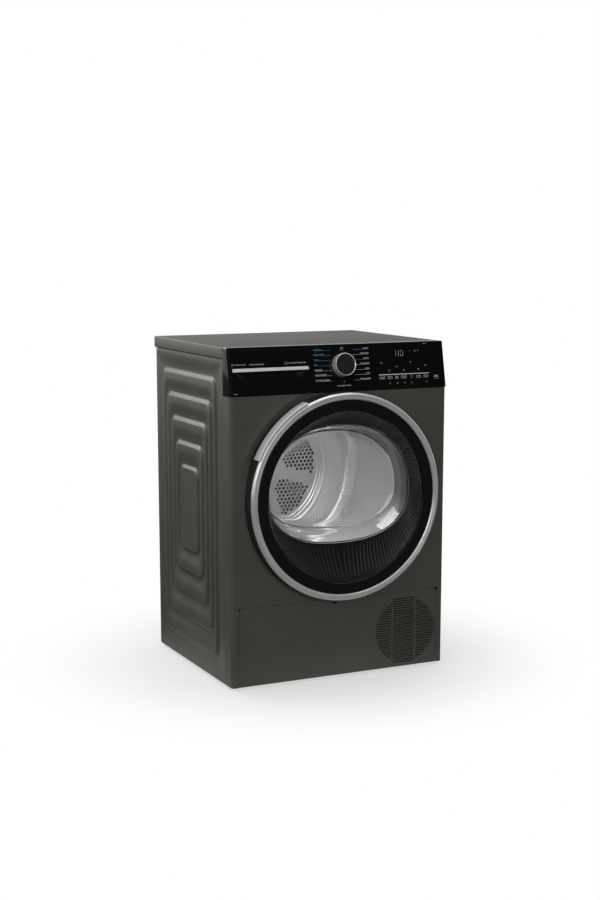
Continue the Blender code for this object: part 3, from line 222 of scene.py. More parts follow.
def capped_solid(name, loops, crease=35.0):
    """Solid carried through closed loops of points, with a flat face at either end."""
    rows, columns = loops.shape[:2]
    faces = quads(rows, columns, False, True).tolist()
    faces.append(list(range(columns)))
    faces.append(list(range(rows * columns - 1, (rows - 1) * columns - 1, -1)))
    return store(name, loops, faces, crease)


def thick_sheet(name, front, back, faces, crease=35.0):
    """Closed sheet: a front, a back with the same faces reversed, and walls along the
    edges that only one face uses.  Points in the same place are one point."""
    front, back = front.reshape(-1, 3), back.reshape(-1, 3)
    _, kept, index = np.unique(np.round(front, 6), axis=0, return_index=True,
                               return_inverse=True)
    front, back, faces = front[kept], back[kept], index.reshape(-1)[faces]
    count = len(front)
    edges = np.concatenate([faces[:, [k, (k + 1) % 4]] for k in range(4)])
    _, place, used = np.unique(np.sort(edges, 1), axis=0, return_inverse=True,
                               return_counts=True)
    rim = edges[used[place.reshape(-1)] == 1]
    walls = np.stack([rim[:, 1], rim[:, 0], rim[:, 0] + count, rim[:, 1] + count], 1)
    everything = np.concatenate([faces, faces[:, ::-1] + count, walls])
    return store(name, np.concatenate([front, back]), everything.tolist(), crease)


def turned_loops(profile, centre, segments, extra=()):
    """Loops of a profile of (radius, depth) points turned about an axis along the depth,
    at even angles and at any extra ones."""
    turn = np.unique(np.concatenate([np.arange(segments) * TAU / segments,
                                     np.asarray(extra, float) % TAU]))
    radius, depth = np.asarray(profile, float).T
    x = centre[0] + radius[:, None] * np.cos(turn)
    height = centre[1] + radius[:, None] * np.sin(turn)
    return at(x, depth[:, None], height)


def bowed(points, steps=6):
    """A smooth line through points: on each stretch the Catmull-Rom cubic of its four
    nearest points."""
    p = np.asarray(points, float)
    p = np.concatenate([[2 * p[0] - p[1]], p, [2 * p[-1] - p[-2]]])
    t = (np.arange(steps) / steps)[None, :, None]
    a, b, c, d = (p[k:len(p) - 3 + k, None, :] for k in range(4))
    line = b + 0.5 * t * (c - a + t * (2 * a - 5 * b + 4 * c - d + t * (3 * (b - c) + d - a)))
    return np.concatenate([line.reshape(-1, p.shape[1]), p[-2:-1]])


def rounded_outline(half_wide, half_tall, radius, steps=8):
    """Points round a rectangle whose corners are arcs, anticlockwise from the right."""
    turn = (np.arange(4)[:, None] * 0.5 + np.linspace(0.0, 0.5, steps + 1)) * math.pi
    side = np.array([[1, 1], [-1, 1], [-1, -1], [1, -1]], float)
    a = side[:, None, 0] * (half_wide - radius) + radius * np.cos(turn)
    b = side[:, None, 1] * (half_tall - radius) + radius * np.sin(turn)
    return np.stack([a.ravel(), b.ravel()], -1)


def slab_loops(low, high, corner, edge, axis=1, bend=4):
    """Loops of a block: the rounded rectangle of its face is carried along the axis, and
    a quarter circle draws it in at both ends.  Coordinates are x, depth and height."""
    low, high = np.array(low, float), np.array(high, float)
    flat = [k for k in range(3) if k != axis]
    middle, half = (low + high)[flat] / 2.0, (high - low)[flat] / 2.0
    turn = np.linspace(0.0, math.pi / 2.0, bend + 1)
    inset, along = edge * (1.0 - np.sin(turn)), edge * (1.0 - np.cos(turn))
    stations = list(zip(low[axis] + along, inset)) + list(zip(high[axis] - along, inset))[::-1]
    loops = []
    for place, draw in stations:
        outline = rounded_outline(*(half - draw), max(corner - draw, 1e-4))
        loop = np.empty((len(outline), 3))
        loop[:, flat] = middle + outline
        loop[:, axis] = place
        loops.append(loop)
    return np.array(loops)


def slab(name, low, high, corner, edge, axis=1):
    """A block with rounded corners and edges."""
    loops = slab_loops(low, high, corner, edge, axis)
    return capped_solid(name, at(*np.moveaxis(loops, -1, 0)))


def flat_cut(name, outlines, depth, thickness, bevel=0.0):
    """A flat plate cut from outlines of (x, height) points, with its edges eased."""
    curve = bpy.data.curves.new(name, 'CURVE')
    curve.dimensions = '2D'
    curve.fill_mode = 'BOTH'
    curve.extrude = thickness / 2.0
    for outline in outlines:
        spline = curve.splines.new('POLY')
        spline.points.add(len(outline) - 1)
        rows = np.zeros((len(outline), 4))
        rows[:, :2], rows[:, 3] = outline, 1.0
        spline.points.foreach_set("co", rows.ravel())
        spline.use_cyclic_u = True
    guide = bpy.data.objects.new(name + "_outline", curve)
    bpy.context.scene.collection.objects.link(guide)
    filled = guide.evaluated_get(bpy.context.evaluated_depsgraph_get())
    mesh = bpy.data.meshes.new_from_object(filled)
    bpy.data.objects.remove(guide)
    bm = bmesh.new()
    bm.from_mesh(mesh)
    bmesh.ops.remove_doubles(bm, verts=bm.verts, dist=1e-5)
    for vert in bm.verts:
        x, height, back = vert.co
        vert.co = (x, FRONT_Y + depth + thickness / 2.0 + back, height)
    bmesh.ops.recalc_face_normals(bm, faces=bm.faces)
    bm.to_mesh(mesh)
    bm.free()
    obj = bpy.data.objects.new(name, mesh)
    bpy.context.scene.collection.objects.link(obj)
    if bevel:
        edge = obj.modifiers.new("eased", 'BEVEL')
        edge.width = bevel
        edge.segments = 1
        edge.limit_method = 'ANGLE'
        edge.angle_limit = math.radians(50.0)
        settle(obj)
    shade(obj, 35.0)
    return obj


def settle(obj):
    """Turn an object's modifiers into its mesh."""
    found = obj.evaluated_get(bpy.context.evaluated_depsgraph_get())
    mesh = bpy.data.meshes.new_from_object(found)
    obj.modifiers.clear()
    obj.data = mesh


def carve(obj, *cutters, crease=35.0):
    """Cut shapes out of an object."""
    for cutter in cutters:
        step = obj.modifiers.new("carve", 'BOOLEAN')
        step.operation = 'DIFFERENCE'
        step.object = cutter
    settle(obj)
    for cutter in cutters:
        bpy.data.objects.remove(cutter)
    shade(obj, crease)
    return obj


def merged(name, *parts):
    """One object that holds the meshes of several."""
    bm = bmesh.new()
    for part in parts:
        bm.from_mesh(part.data)
        bpy.data.objects.remove(part)
    mesh = bpy.data.meshes.new(name)
    bm.to_mesh(mesh)
    bm.free()
    obj = bpy.data.objects.new(name, mesh)
    bpy.context.scene.collection.objects.link(obj)
    shade(obj, 35.0)
    return obj


def give(obj, body, finish, slot, *nodes):
    """Let a piece ride on a body with its finish, in place of the frame's nodes."""
    obj.data.materials.clear()
    obj.data.materials.append(finish)
    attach(obj, body)
    if nodes:
        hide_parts(*nodes)
    return obj


# ---------------------------------------------------------------- materials

def add(tree, kind, values=None, **settings):
    """Add a node, set its attributes and the default values of its inputs."""
    made = tree.nodes.new(kind)
    for key, value in settings.items():
        setattr(made, key, value)
    for key, value in (values or {}).items():
        made.inputs[key].default_value = value
    return made


def new_group(name, inputs, outputs):
    """An empty node group with float inputs and outputs; its two end nodes come too."""
    tree = bpy.data.node_groups.new(name, 'ShaderNodeTree')
    for label, value in inputs.items():
        socket = tree.interface.new_socket(label, in_out='INPUT', socket_type='NodeSocketFloat')
        socket.default_value = value
    for label in outputs:
        tree.interface.new_socket(label, in_out='OUTPUT', socket_type='NodeSocketFloat')
    return tree, add(tree, 'NodeGroupInput'), add(tree, 'NodeGroupOutput')


def grain_group():
    """Fine moulded or sprayed grain: a cloudy mask for tone and gloss, a fine height."""
    tree, start, end = new_group("Surface grain", {"Scale": 400.0}, ("Mask", "Height"))
    place = add(tree, 'ShaderNodeTexCoord')
    fine = add(tree, 'ShaderNodeTexNoise', {"Detail": 3.0, "Roughness": 0.55})
    broad = add(tree, 'ShaderNodeTexNoise', {"Scale": 7.0, "Detail": 5.0, "Roughness": 0.6})
    for texture in (fine, broad):
        tree.links.new(place.outputs["Object"], texture.inputs["Vector"])
    tree.links.new(start.outputs["Scale"], fine.inputs["Scale"])
    spread = add(tree, 'ShaderNodeMapRange', {"From Min": 0.3, "From Max": 0.7})
    tree.links.new(broad.outputs["Fac"], spread.inputs["Value"])
    tree.links.new(spread.outputs["Result"], end.inputs["Mask"])
    tree.links.new(fine.outputs["Fac"], end.inputs["Height"])
    return tree


def brushed_group():
    """Fine lines along one axis, from noise stretched by its three scales."""
    tree, start, end = new_group("Brushed lines", {"X": 20.0, "Y": 20.0, "Z": 1200.0},
                                 ("Mask", "Height"))
    place = add(tree, 'ShaderNodeTexCoord')
    scale = add(tree, 'ShaderNodeCombineXYZ')
    for axis in "XYZ":
        tree.links.new(start.outputs[axis], scale.inputs[axis])
    stretch = add(tree, 'ShaderNodeVectorMath', operation='MULTIPLY')
    tree.links.new(place.outputs["Object"], stretch.inputs[0])
    tree.links.new(scale.outputs["Vector"], stretch.inputs[1])
    lines = add(tree, 'ShaderNodeTexNoise', {"Scale": 1.0, "Detail": 4.0})
    tree.links.new(stretch.outputs["Vector"], lines.inputs["Vector"])
    tree.links.new(lines.outputs["Fac"], end.inputs["Height"])
    spread = add(tree, 'ShaderNodeMapRange', {"From Min": 0.3, "From Max": 0.7})
    tree.links.new(lines.outputs["Fac"], spread.inputs["Value"])
    tree.links.new(spread.outputs["Result"], end.inputs["Mask"])
    return tree


def dimple_group():
    """Small round dimples on an even lattice, with a cloudy mask for tone."""
    tree, start, end = new_group("Pressed dimples", {"Scale": 110.0}, ("Mask", "Height"))
    place = add(tree, 'ShaderNodeTexCoord')
    lattice = add(tree, 'ShaderNodeTexVoronoi', {"Randomness": 0.0})
    cloud = add(tree, 'ShaderNodeTexNoise', {"Scale": 14.0, "Detail": 6.0, "Roughness": 0.6})
    for texture in (lattice, cloud):
        tree.links.new(place.outputs["Object"], texture.inputs["Vector"])
    tree.links.new(start.outputs["Scale"], lattice.inputs["Scale"])
    round_off = add(tree, 'ShaderNodeMapRange', {"From Min": 0.12, "From Max": 0.42},
                    interpolation_type='SMOOTHSTEP')
    tree.links.new(lattice.outputs["Distance"], round_off.inputs["Value"])
    tree.links.new(round_off.outputs["Result"], end.inputs["Height"])
    spread = add(tree, 'ShaderNodeMapRange', {"From Min": 0.3, "From Max": 0.7})
    tree.links.new(cloud.outputs["Fac"], spread.inputs["Value"])
    tree.links.new(spread.outputs["Result"], end.inputs["Mask"])
    return tree


def dust_group():
    """Dust that settles where the surface faces up, broken by noise."""
    tree, start, end = new_group("Settled dust", {"Amount": 0.1}, ("Mask",))
    face = add(tree, 'ShaderNodeNewGeometry')
    parts = add(tree, 'ShaderNodeSeparateXYZ')
    tree.links.new(face.outputs["Normal"], parts.inputs["Vector"])
    upward = add(tree, 'ShaderNodeMapRange', {"From Min": 0.6, "From Max": 1.0})
    tree.links.new(parts.outputs["Z"], upward.inputs["Value"])
    place = add(tree, 'ShaderNodeTexCoord')
    cloud = add(tree, 'ShaderNodeTexNoise', {"Scale": 35.0, "Detail": 6.0})
    tree.links.new(place.outputs["Object"], cloud.inputs["Vector"])
    broken = add(tree, 'ShaderNodeMath', operation='MULTIPLY')
    tree.links.new(upward.outputs["Result"], broken.inputs[0])
    tree.links.new(cloud.outputs["Fac"], broken.inputs[1])
    scaled = add(tree, 'ShaderNodeMath', operation='MULTIPLY')
    tree.links.new(broken.outputs["Value"], scaled.inputs[0])
    tree.links.new(start.outputs["Amount"], scaled.inputs[1])
    tree.links.new(scaled.outputs["Value"], end.inputs["Mask"])
    return tree


def group_of(maker):
    """The node group that a maker makes, made once."""
    if maker.__name__ not in GROUPS:
        GROUPS[maker.__name__] = maker()
    return GROUPS[maker.__name__]


GROUPS = {}
FINISHES = {}


def surface(name, colour, rough, metal=0.0, tone=0.12, bump=0.00002, pattern=grain_group,
            values=None, dust=0.0, coat=0.0, extra=None):
    """A Principled finish whose tone, roughness and bump come from a shared pattern."""
    if name in FINISHES:
        return FINISHES[name]
    finish = bpy.data.materials.new(name)
    finish.use_nodes = True
    tree = finish.node_tree
    shader = tree.nodes["Principled BSDF"]
    shader.inputs["Metallic"].default_value = metal
    shader.inputs["Coat Weight"].default_value = coat
    shader.inputs["Coat Roughness"].default_value = 0.05
    for label, value in (extra or {}).items():
        shader.inputs[label].default_value = value
    grain = add(tree, 'ShaderNodeGroup', node_tree=group_of(pattern))
    for label, value in (values or {}).items():
        grain.inputs[label].default_value = value
    mix = add(tree, 'ShaderNodeMix', data_type='RGBA')
    mix.inputs["A"].default_value = (*(c * (1.0 - tone) for c in colour), 1.0)
    mix.inputs["B"].default_value = (*(min(1.0, c * (1.0 + tone)) for c in colour), 1.0)
    tree.links.new(grain.outputs["Mask"], mix.inputs["Factor"])
    tinted = mix.outputs["Result"]
    if dust:
        settled = add(tree, 'ShaderNodeGroup', {"Amount": dust}, node_tree=group_of(dust_group))
        powder = add(tree, 'ShaderNodeMix', data_type='RGBA')
        powder.inputs["B"].default_value = (0.45, 0.44, 0.42, 1.0)
        tree.links.new(settled.outputs["Mask"], powder.inputs["Factor"])
        tree.links.new(tinted, powder.inputs["A"])
        tinted = powder.outputs["Result"]
    tree.links.new(tinted, shader.inputs["Base Color"])
    gloss = add(tree, 'ShaderNodeMapRange', {"To Min": rough[0], "To Max": rough[1]})
    tree.links.new(grain.outputs["Mask"], gloss.inputs["Value"])
    tree.links.new(gloss.outputs["Result"], shader.inputs["Roughness"])
    relief = add(tree, 'ShaderNodeBump', {"Strength": 1.0, "Distance": bump})
    tree.links.new(grain.outputs["Height"], relief.inputs["Height"])
    tree.links.new(relief.outputs["Normal"], shader.inputs["Normal"])
    FINISHES[name] = finish
    return finish


def enamel():
    """Dark olive-grey satin enamel with a fine metallic sparkle and orange peel."""
    colour = tuple(bpy.context.scene.dryer_cabinet.enamel)
    return surface("olive_enamel", colour, (0.36, 0.44), metal=0.30, tone=0.05,
                   values={"Scale": 260.0}, bump=0.00003, dust=0.10)


def worktop_laminate():
    """The worktop's laminate, a little rougher than the enamel."""
    colour = tuple(0.78 * part for part in bpy.context.scene.dryer_cabinet.enamel)
    return surface("worktop_laminate", colour, (0.46, 0.56), metal=0.15, tone=0.08,
                   values={"Scale": 900.0}, bump=0.00005, dust=0.10)


def gloss_black():
    """Piano-black gloss with faint handling smears."""
    return surface("gloss_black", (0.0050, 0.0050, 0.0054), (0.05, 0.10), tone=0.10,
                   values={"Scale": 40.0}, bump=0.000004)


def display_glass():
    """Smoked display window."""
    return surface("smoked_display", (0.0035, 0.0036, 0.0042), (0.03, 0.06), tone=0.2,
                   values={"Scale": 30.0}, bump=0.000003, coat=0.5)


def chrome():
    """Satin chrome plating with a fine turned finish."""
    return surface("satin_chrome", (0.88, 0.88, 0.89), (0.15, 0.24), metal=0.62, tone=0.05,
                   pattern=brushed_group, values={"X": 30.0, "Y": 900.0, "Z": 30.0},
                   bump=0.0000006)


def painted_highlight_trim():
    """Chrome of the drawer's strip and the door's grip, made near-white and almost non-metallic: a
    painted highlight that stands in for the bright reflections of the chrome.
    """
    return surface("painted_highlight_trim", (0.86, 0.86, 0.87), (0.26, 0.34), metal=0.12, tone=0.04,
                   pattern=brushed_group, values={"X": 20.0, "Y": 900.0, "Z": 900.0},
                   bump=0.0000006, coat=0.3)


def moulded_black():
    """Textured black moulding."""
    return surface("moulded_black", (0.016, 0.016, 0.017), (0.40, 0.55), tone=0.15,
                   values={"Scale": 1500.0}, bump=0.00006)


def funnel_black():
    """Satin black of the ribbed funnel."""
    return surface("funnel_black", (0.010, 0.010, 0.011), (0.34, 0.42), tone=0.12,
                   values={"Scale": 700.0}, bump=0.00002)


def grey_moulding():
    """Plain grey moulding."""
    return surface("grey_moulding", (0.30, 0.305, 0.31), (0.38, 0.48), tone=0.06,
                   values={"Scale": 900.0}, bump=0.00003)


def white_moulding():
    """Milky white moulding of the water tank."""
    return surface("white_moulding", (0.70, 0.71, 0.70), (0.30, 0.40), tone=0.04,
                   values={"Scale": 600.0}, bump=0.00003)


def drum_steel():
    """Stainless drum sheet with fine pressed dimples."""
    return surface("drum_steel", (0.62, 0.62, 0.62), (0.30, 0.40), metal=0.6, tone=0.05,
                   pattern=dimple_group, bump=0.0006)


def disc_steel():
    """Smooth stainless sheet of the drum's rear."""
    return surface("disc_steel", (0.60, 0.60, 0.60), (0.28, 0.36), metal=0.65, tone=0.05,
                   pattern=brushed_group, values={"X": 260.0, "Y": 260.0, "Z": 260.0},
                   bump=0.000006)


def plated_steel():
    """Zinc-plated steel with a faint spangle."""
    return surface("plated_steel", (0.50, 0.51, 0.52), (0.28, 0.45), metal=0.9, tone=0.15,
                   values={"Scale": 120.0}, bump=0.00002, dust=0.1)


def bare_aluminium():
    """Bright aluminium of the fins and the bearing."""
    return surface("bare_aluminium", (0.66, 0.67, 0.68), (0.28, 0.42), metal=0.95, tone=0.08,
                   pattern=brushed_group, values={"X": 900.0, "Y": 30.0, "Z": 30.0},
                   bump=0.0001)


def black_rubber():
    """Dull black rubber."""
    return surface("black_rubber", (0.020, 0.020, 0.020), (0.70, 0.85), tone=0.2,
                   values={"Scale": 500.0}, bump=0.00008, dust=0.3)


def grey_felt():
    """Fibrous felt of the drum seal."""
    return surface("grey_felt", (0.42, 0.41, 0.38), (0.90, 1.0), tone=0.3,
                   values={"Scale": 2600.0}, bump=0.0004)


def green_board():
    """Lacquered circuit board."""
    return surface("green_board", (0.02, 0.13, 0.055), (0.25, 0.4), tone=0.3,
                   values={"Scale": 300.0}, bump=0.00005)


def printed_ink(name, colour):
    """Matt ink printed on the panel."""
    return surface(name, tuple(colour), (0.45, 0.6), tone=0.06, values={"Scale": 800.0},
                   bump=0.000005)


def glass(name, clear):
    """Moulded glass: the clearer it is, the less milky its wall looks.  Below full clearness its
    colour is painted by height: light and milky low down, a painted shade of dark grey higher up.
    """
    if name in FINISHES:
        return FINISHES[name]
    finish = bpy.data.materials.new(name)
    finish.use_nodes = True
    tree = finish.node_tree
    shader = tree.nodes["Principled BSDF"]
    shader.inputs["Transmission Weight"].default_value = clear
    shader.inputs["Roughness"].default_value = 0.0
    shader.inputs["IOR"].default_value = 1.45
    grain = add(tree, 'ShaderNodeGroup', {"Scale": 14.0}, node_tree=group_of(grain_group))
    mix = add(tree, 'ShaderNodeMix', data_type='RGBA')
    mix.inputs["A"].default_value = (0.93, 0.94, 0.94, 1.0)
    mix.inputs["B"].default_value = (0.97, 0.98, 0.98, 1.0)
    tree.links.new(grain.outputs["Mask"], mix.inputs["Factor"])
    place = add(tree, 'ShaderNodeTexCoord')
    parts = add(tree, 'ShaderNodeSeparateXYZ')
    tree.links.new(place.outputs["Object"], parts.inputs["Vector"])
    # Painted light and shade: the colour is light and milky below 0.36 m and dark grey above 0.46
    # m, standing in for light on the bowl's floor and shade higher up.
    low = add(tree, 'ShaderNodeMapRange', {"From Min": 0.36, "From Max": 0.46})
    tree.links.new(parts.outputs["Z"], low.inputs["Value"])
    painted_shade_mix = add(tree, 'ShaderNodeMix', data_type='RGBA')
    painted_shade_mix.inputs["B"].default_value = (0.36, 0.37, 0.37, 1.0)
    tree.links.new(low.outputs["Result"], painted_shade_mix.inputs["Factor"])
    tree.links.new(mix.outputs["Result"], painted_shade_mix.inputs["A"])
    tinted = painted_shade_mix if clear < 0.99 else mix
    tree.links.new(tinted.outputs["Result"], shader.inputs["Base Color"])
    relief = add(tree, 'ShaderNodeBump', {"Strength": 1.0, "Distance": 0.00006})
    tree.links.new(grain.outputs["Height"], relief.inputs["Height"])
    tree.links.new(relief.outputs["Normal"], shader.inputs["Normal"])
    FINISHES[name] = finish
    return finish


def clear_glass():
    """Clear end of the door bowl."""
    return glass("clear_glass", 1.0)


def edge_glass():
    """Thick side wall of the door bowl, which looks milky along its length, with painted light low
    down and painted shade higher up.
    """
    return glass("edge_glass", 0.94)


# ------------------------------------------------------------- the cabinet

class DRYER_OT_worktop(bpy.types.Operator):
    """Build the worktop board"""
    bl_idname = "dryer.worktop"
    bl_label = "Worktop"

    def execute(self, context):
        """A slab with small corner arcs and softly rounded edges, carried upward."""
        bounds = [span("worktop", axis) for axis in range(3)]
        low, high = zip(*bounds)
        board = slab("worktop_board", low, high, 0.004, 0.003, axis=2)
        give(board, "cabinet", worktop_laminate(), "worktop_board", "worktop")
        return {'FINISHED'}


def pressed_outlines():
    """Centre, and half sizes of the five nested outlines pressed into a side panel."""
    centre = (0.2773, 0.4139)
    halves = [(0.1817 - 0.0293 * step, 0.3556 - 0.0604 * step) for step in range(5)]
    return centre, halves


class DRYER_OT_side_panels(bpy.types.Operator):
    """Build both pressed side panels"""
    bl_idname = "dryer.side_panels"
    bl_label = "Side panels"

    def execute(self, context):
        for side, node in ((-1.0, "side_panel_left"), (1.0, "side_panel_right")):
            self.panel(context.scene.dryer_cabinet.crease_depth, side, node)
        return {'FINISHED'}

    def panel(self, crease, side, node):
        """Nested outlines, blended in straight lines from each to the next.

        Inside an outline the sheet springs up from the crease within a fifth of the way,
        rolls over and then falls as a smooth step into the next crease.
        """
        depth, height = span(node, 1), span(node, 2)
        centre, halves = pressed_outlines()
        steps = 10
        border = rounded_outline((depth[1] - depth[0]) / 2.0, (height[1] - height[0]) / 2.0,
                                 0.0015, steps)
        border += (sum(depth) / 2.0, sum(height) / 2.0)
        rings = [border] + [rounded_outline(a, b, 0.026, steps) + centre for a, b in halves]
        rings.append(rounded_outline(0.018, 0.062, 0.010, steps) + centre)
        share = np.array([0.0, 0.025, 0.05, 0.08, 0.11, 0.15, 0.2, 0.27, 0.35, 0.43, 0.51, 0.59,
                          0.67, 0.74, 0.80, 0.86, 0.91, 0.96])
        loops, depths = [], []
        for number, (outer, inner) in enumerate(zip(rings, rings[1:])):
            rise = 1.0 - ease(share / 0.17) if number else 0.0 * share
            fall = ease((share - 0.42) / 0.58) if number < len(rings) - 2 else 0.0 * share
            if number == 0:
                fall = ease((share - 0.1) / 0.9)
            for t, drop in zip(share, crease * np.maximum(rise, fall)):
                loops.append(outer * (1.0 - t) + inner * t)
                depths.append(drop)
        loops.append(rings[-1])
        depths.append(0.0)
        flat, drop = np.array(loops), np.array(depths)[:, None]
        outside = at(side * (HALF - drop), flat[..., 0], flat[..., 1])
        inside = at(side * (HALF - 0.001 - drop), flat[..., 0], flat[..., 1])
        panel = capped_solid(node + "_pressing", np.concatenate([inside[::-1], outside]), 50.0)
        give(panel, "cabinet", enamel(), "cabinet_enamel", node)


class DRYER_OT_front_panel(bpy.types.Operator):
    """Build the front panel with its wrapped corners and finger recess"""
    bl_idname = "dryer.front_panel"
    bl_label = "Front panel"
    corner = 0.008
    sheet = 0.001

    def wrapped(self, along, height, skin, recess):
        """Points of the sheet at a developed place: flat up to the corner, then round the
        corner's arc, then straight back.  The inner skin is offset by its thickness."""
        flat = HALF - self.corner
        past = np.abs(along) - flat
        turn = np.clip(past / self.corner, 0.0, math.pi / 2.0)
        straight = np.maximum(past - self.corner * math.pi / 2.0, 0.0)
        radius = self.corner - skin
        x = np.minimum(np.abs(along), flat) + radius * np.sin(turn)
        depth = self.corner - radius * np.cos(turn) + straight
        depth = depth + recess * self.hollow(along, height)
        return at(np.sign(along) * x, depth, height)

    def hollow(self, x, height):
        """Crescent behind the grip: full depth under the ring, easing to nothing past its
        rim, and fading at both ends of its arc."""
        radius = np.hypot(x, height - DOOR_HEIGHT)
        turn = np.degrees(np.arctan2(height - DOOR_HEIGHT, x)) % 360.0
        across = 1.0 - ease((radius - RING_RADIUS + 0.004) / 0.027)
        under = ease((radius - RING_RADIUS + 0.034) / 0.018)
        ends = ease((turn - 92.0) / 26.0) * (1.0 - ease((turn - 150.0) / 24.0))
        return across * under * ends

    def execute(self, context):
        """A blend from the port's circle out to the flat rectangle, with strips that wrap
        the corners and two legs beside the kick plate."""
        bottom, top = span("front_panel", 2)
        sill = span("kick_plate", 2)[1] + 0.0008
        leg = span("kick_plate", 0)[1] + 0.0008
        flat = HALF - self.corner
        arc = flat + np.linspace(0.0, 1.0, 7) * self.corner * math.pi / 2.0
        back = flat + self.corner * math.pi / 2.0 + span("front_panel", 1)[1] - self.corner
        edge = np.append(arc, back)
        across = np.concatenate([[-flat], np.linspace(-leg, leg, 90), [flat]])
        up = np.linspace(sill, top, 80)
        rim = np.concatenate([
            np.stack([across[:-1], np.full(len(across) - 1, sill)], 1),
            np.stack([np.full(len(up) - 1, flat), up[:-1]], 1),
            np.stack([across[:0:-1], np.full(len(across) - 1, top)], 1),
            np.stack([np.full(len(up) - 1, -flat), up[:0:-1]], 1)])
        turn = np.arctan2(rim[:, 1] - DOOR_HEIGHT, rim[:, 0])
        port = np.stack([np.cos(turn), np.sin(turn)], 1) * PORT_RADIUS + (0.0, DOOR_HEIGHT)
        share = (np.linspace(0.0, 1.0, 44) ** 1.15)[:, None, None]
        places = [(port * (1.0 - share) + rim * share).reshape(-1, 2)]
        faces = [quads(44, len(rim), False, True)[:, ::-1]]
        low = np.linspace(bottom, sill, 4)
        for side in (-1.0, 1.0):
            for line, rows in ((edge, up), (np.concatenate([[leg], edge]), low)):
                grid = np.stack(np.meshgrid(side * line, rows, indexing="ij"), -1)
                found = quads(len(line), len(rows), first=sum(len(p) for p in places))
                faces.append(found if side > 0 else found[:, ::-1])
                places.append(grid.reshape(-1, 2))
        along, height = np.concatenate(places).T
        recess = context.scene.dryer_cabinet.recess_depth
        front = self.wrapped(along, height, 0.0, recess)
        rear = self.wrapped(along, height, self.sheet, recess)
        panel = thick_sheet("front_sheet", front, rear, np.concatenate(faces))
        slot_low, slot_high = (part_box("door_hook")[k] for k in (0, 1))
        grow = 0.004
        cutter = slab("hook_slot", (slot_low.x - grow, -0.02, slot_low.z - 0.003),
                      (slot_high.x + grow - 0.002, 0.02, slot_high.z + 0.003), 0.002, 0.0005)
        carve(panel, cutter)
        give(panel, "cabinet", enamel(), "cabinet_enamel", "front_panel")
        return {'FINISHED'}


class DRYER_OT_kick_plate(bpy.types.Operator):
    """Build the kick plate with its round vent"""
    bl_idname = "dryer.kick_plate"
    bl_label = "Kick plate"
    vent_centre = (0.1885, 0.1042)
    vent_bars = (0.1504, 0.2171)
    half_bar = 0.0016
    corner = 0.012
    wall = 0.003

    def outline(self, inset):
        """The plate's rectangle with its two upper corners rounded, drawn in by an inset."""
        wide = span("kick_plate", 0)[1] - inset
        low, high = span("kick_plate", 2)
        radius = self.corner - inset
        turn = np.linspace(0.0, math.pi / 2.0, 9)
        right = np.stack([wide - radius + radius * np.cos(turn),
                          high - inset - radius + radius * np.sin(turn)], 1)
        left = right[::-1] * (-1.0, 1.0)
        return np.concatenate([[(wide, low + inset)], right, left, [(-wide, low + inset)]])

    def slots(self, settings):
        """Slots with round ends in rows across a circle, broken by two upright bars."""
        radius, pitch, tall = settings.vent_radius, settings.vent_pitch, settings.vent_slot
        end = np.linspace(-0.5, 0.5, 5) * math.pi
        found = []
        rows = int(2.0 * radius / pitch)
        for row in range(rows):
            height = (row - (rows - 1) / 2.0) * pitch
            reach = math.sqrt(radius ** 2 - (abs(height) + tall / 2.0) ** 2)
            edges = [self.vent_centre[0] - reach]
            for bar in self.vent_bars:
                edges += [bar - self.half_bar, bar + self.half_bar]
            edges.append(self.vent_centre[0] + reach)
            for left, right in zip(edges[0::2], edges[1::2]):
                if right - left < 2.0 * tall:
                    continue
                half = (right - left) / 2.0 - tall / 2.0
                x = np.concatenate([half + tall / 2.0 * np.cos(end),
                                    -half - tall / 2.0 * np.cos(end)])
                z = np.concatenate([np.sin(end), -np.sin(end)]) * tall / 2.0
                found.append(np.stack([(left + right) / 2.0 + x,
                                       self.vent_centre[1] + height + z], 1))
        return found

    def execute(self, context):
        """A cut plate, and a rim carried round behind its edge."""
        latch_low, latch_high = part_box("kick_latch")
        gap, eased = 0.0006, 0.0004
        latch = rounded_outline((latch_high.x - latch_low.x) / 2.0 + gap,
                                (latch_high.z - latch_low.z) / 2.0 + gap, 0.001, 3)
        latch += ((latch_low.x + latch_high.x) / 2.0, (latch_low.z + latch_high.z) / 2.0)
        outlines = [self.outline(0.0), latch] + self.slots(context.scene.dryer_cabinet)
        plate = flat_cut("kick_face", outlines, 0.0, self.wall, bevel=eased)
        front, back = self.wall - eased, span("kick_plate", 1)[1]
        outer, inner = self.outline(0.0003), self.outline(self.wall)
        loops = np.array([at(line[:, 0], depth, line[:, 1]) for line, depth in (
            (outer, front), (outer, back), (inner, back), (inner, front))])
        piece = merged("kick_plate_moulding", plate, closed_ring("kick_rim", loops))
        give(piece, "kick_panel", enamel(), "kick_plate_plastic", "kick_plate")
        return {'FINISHED'}


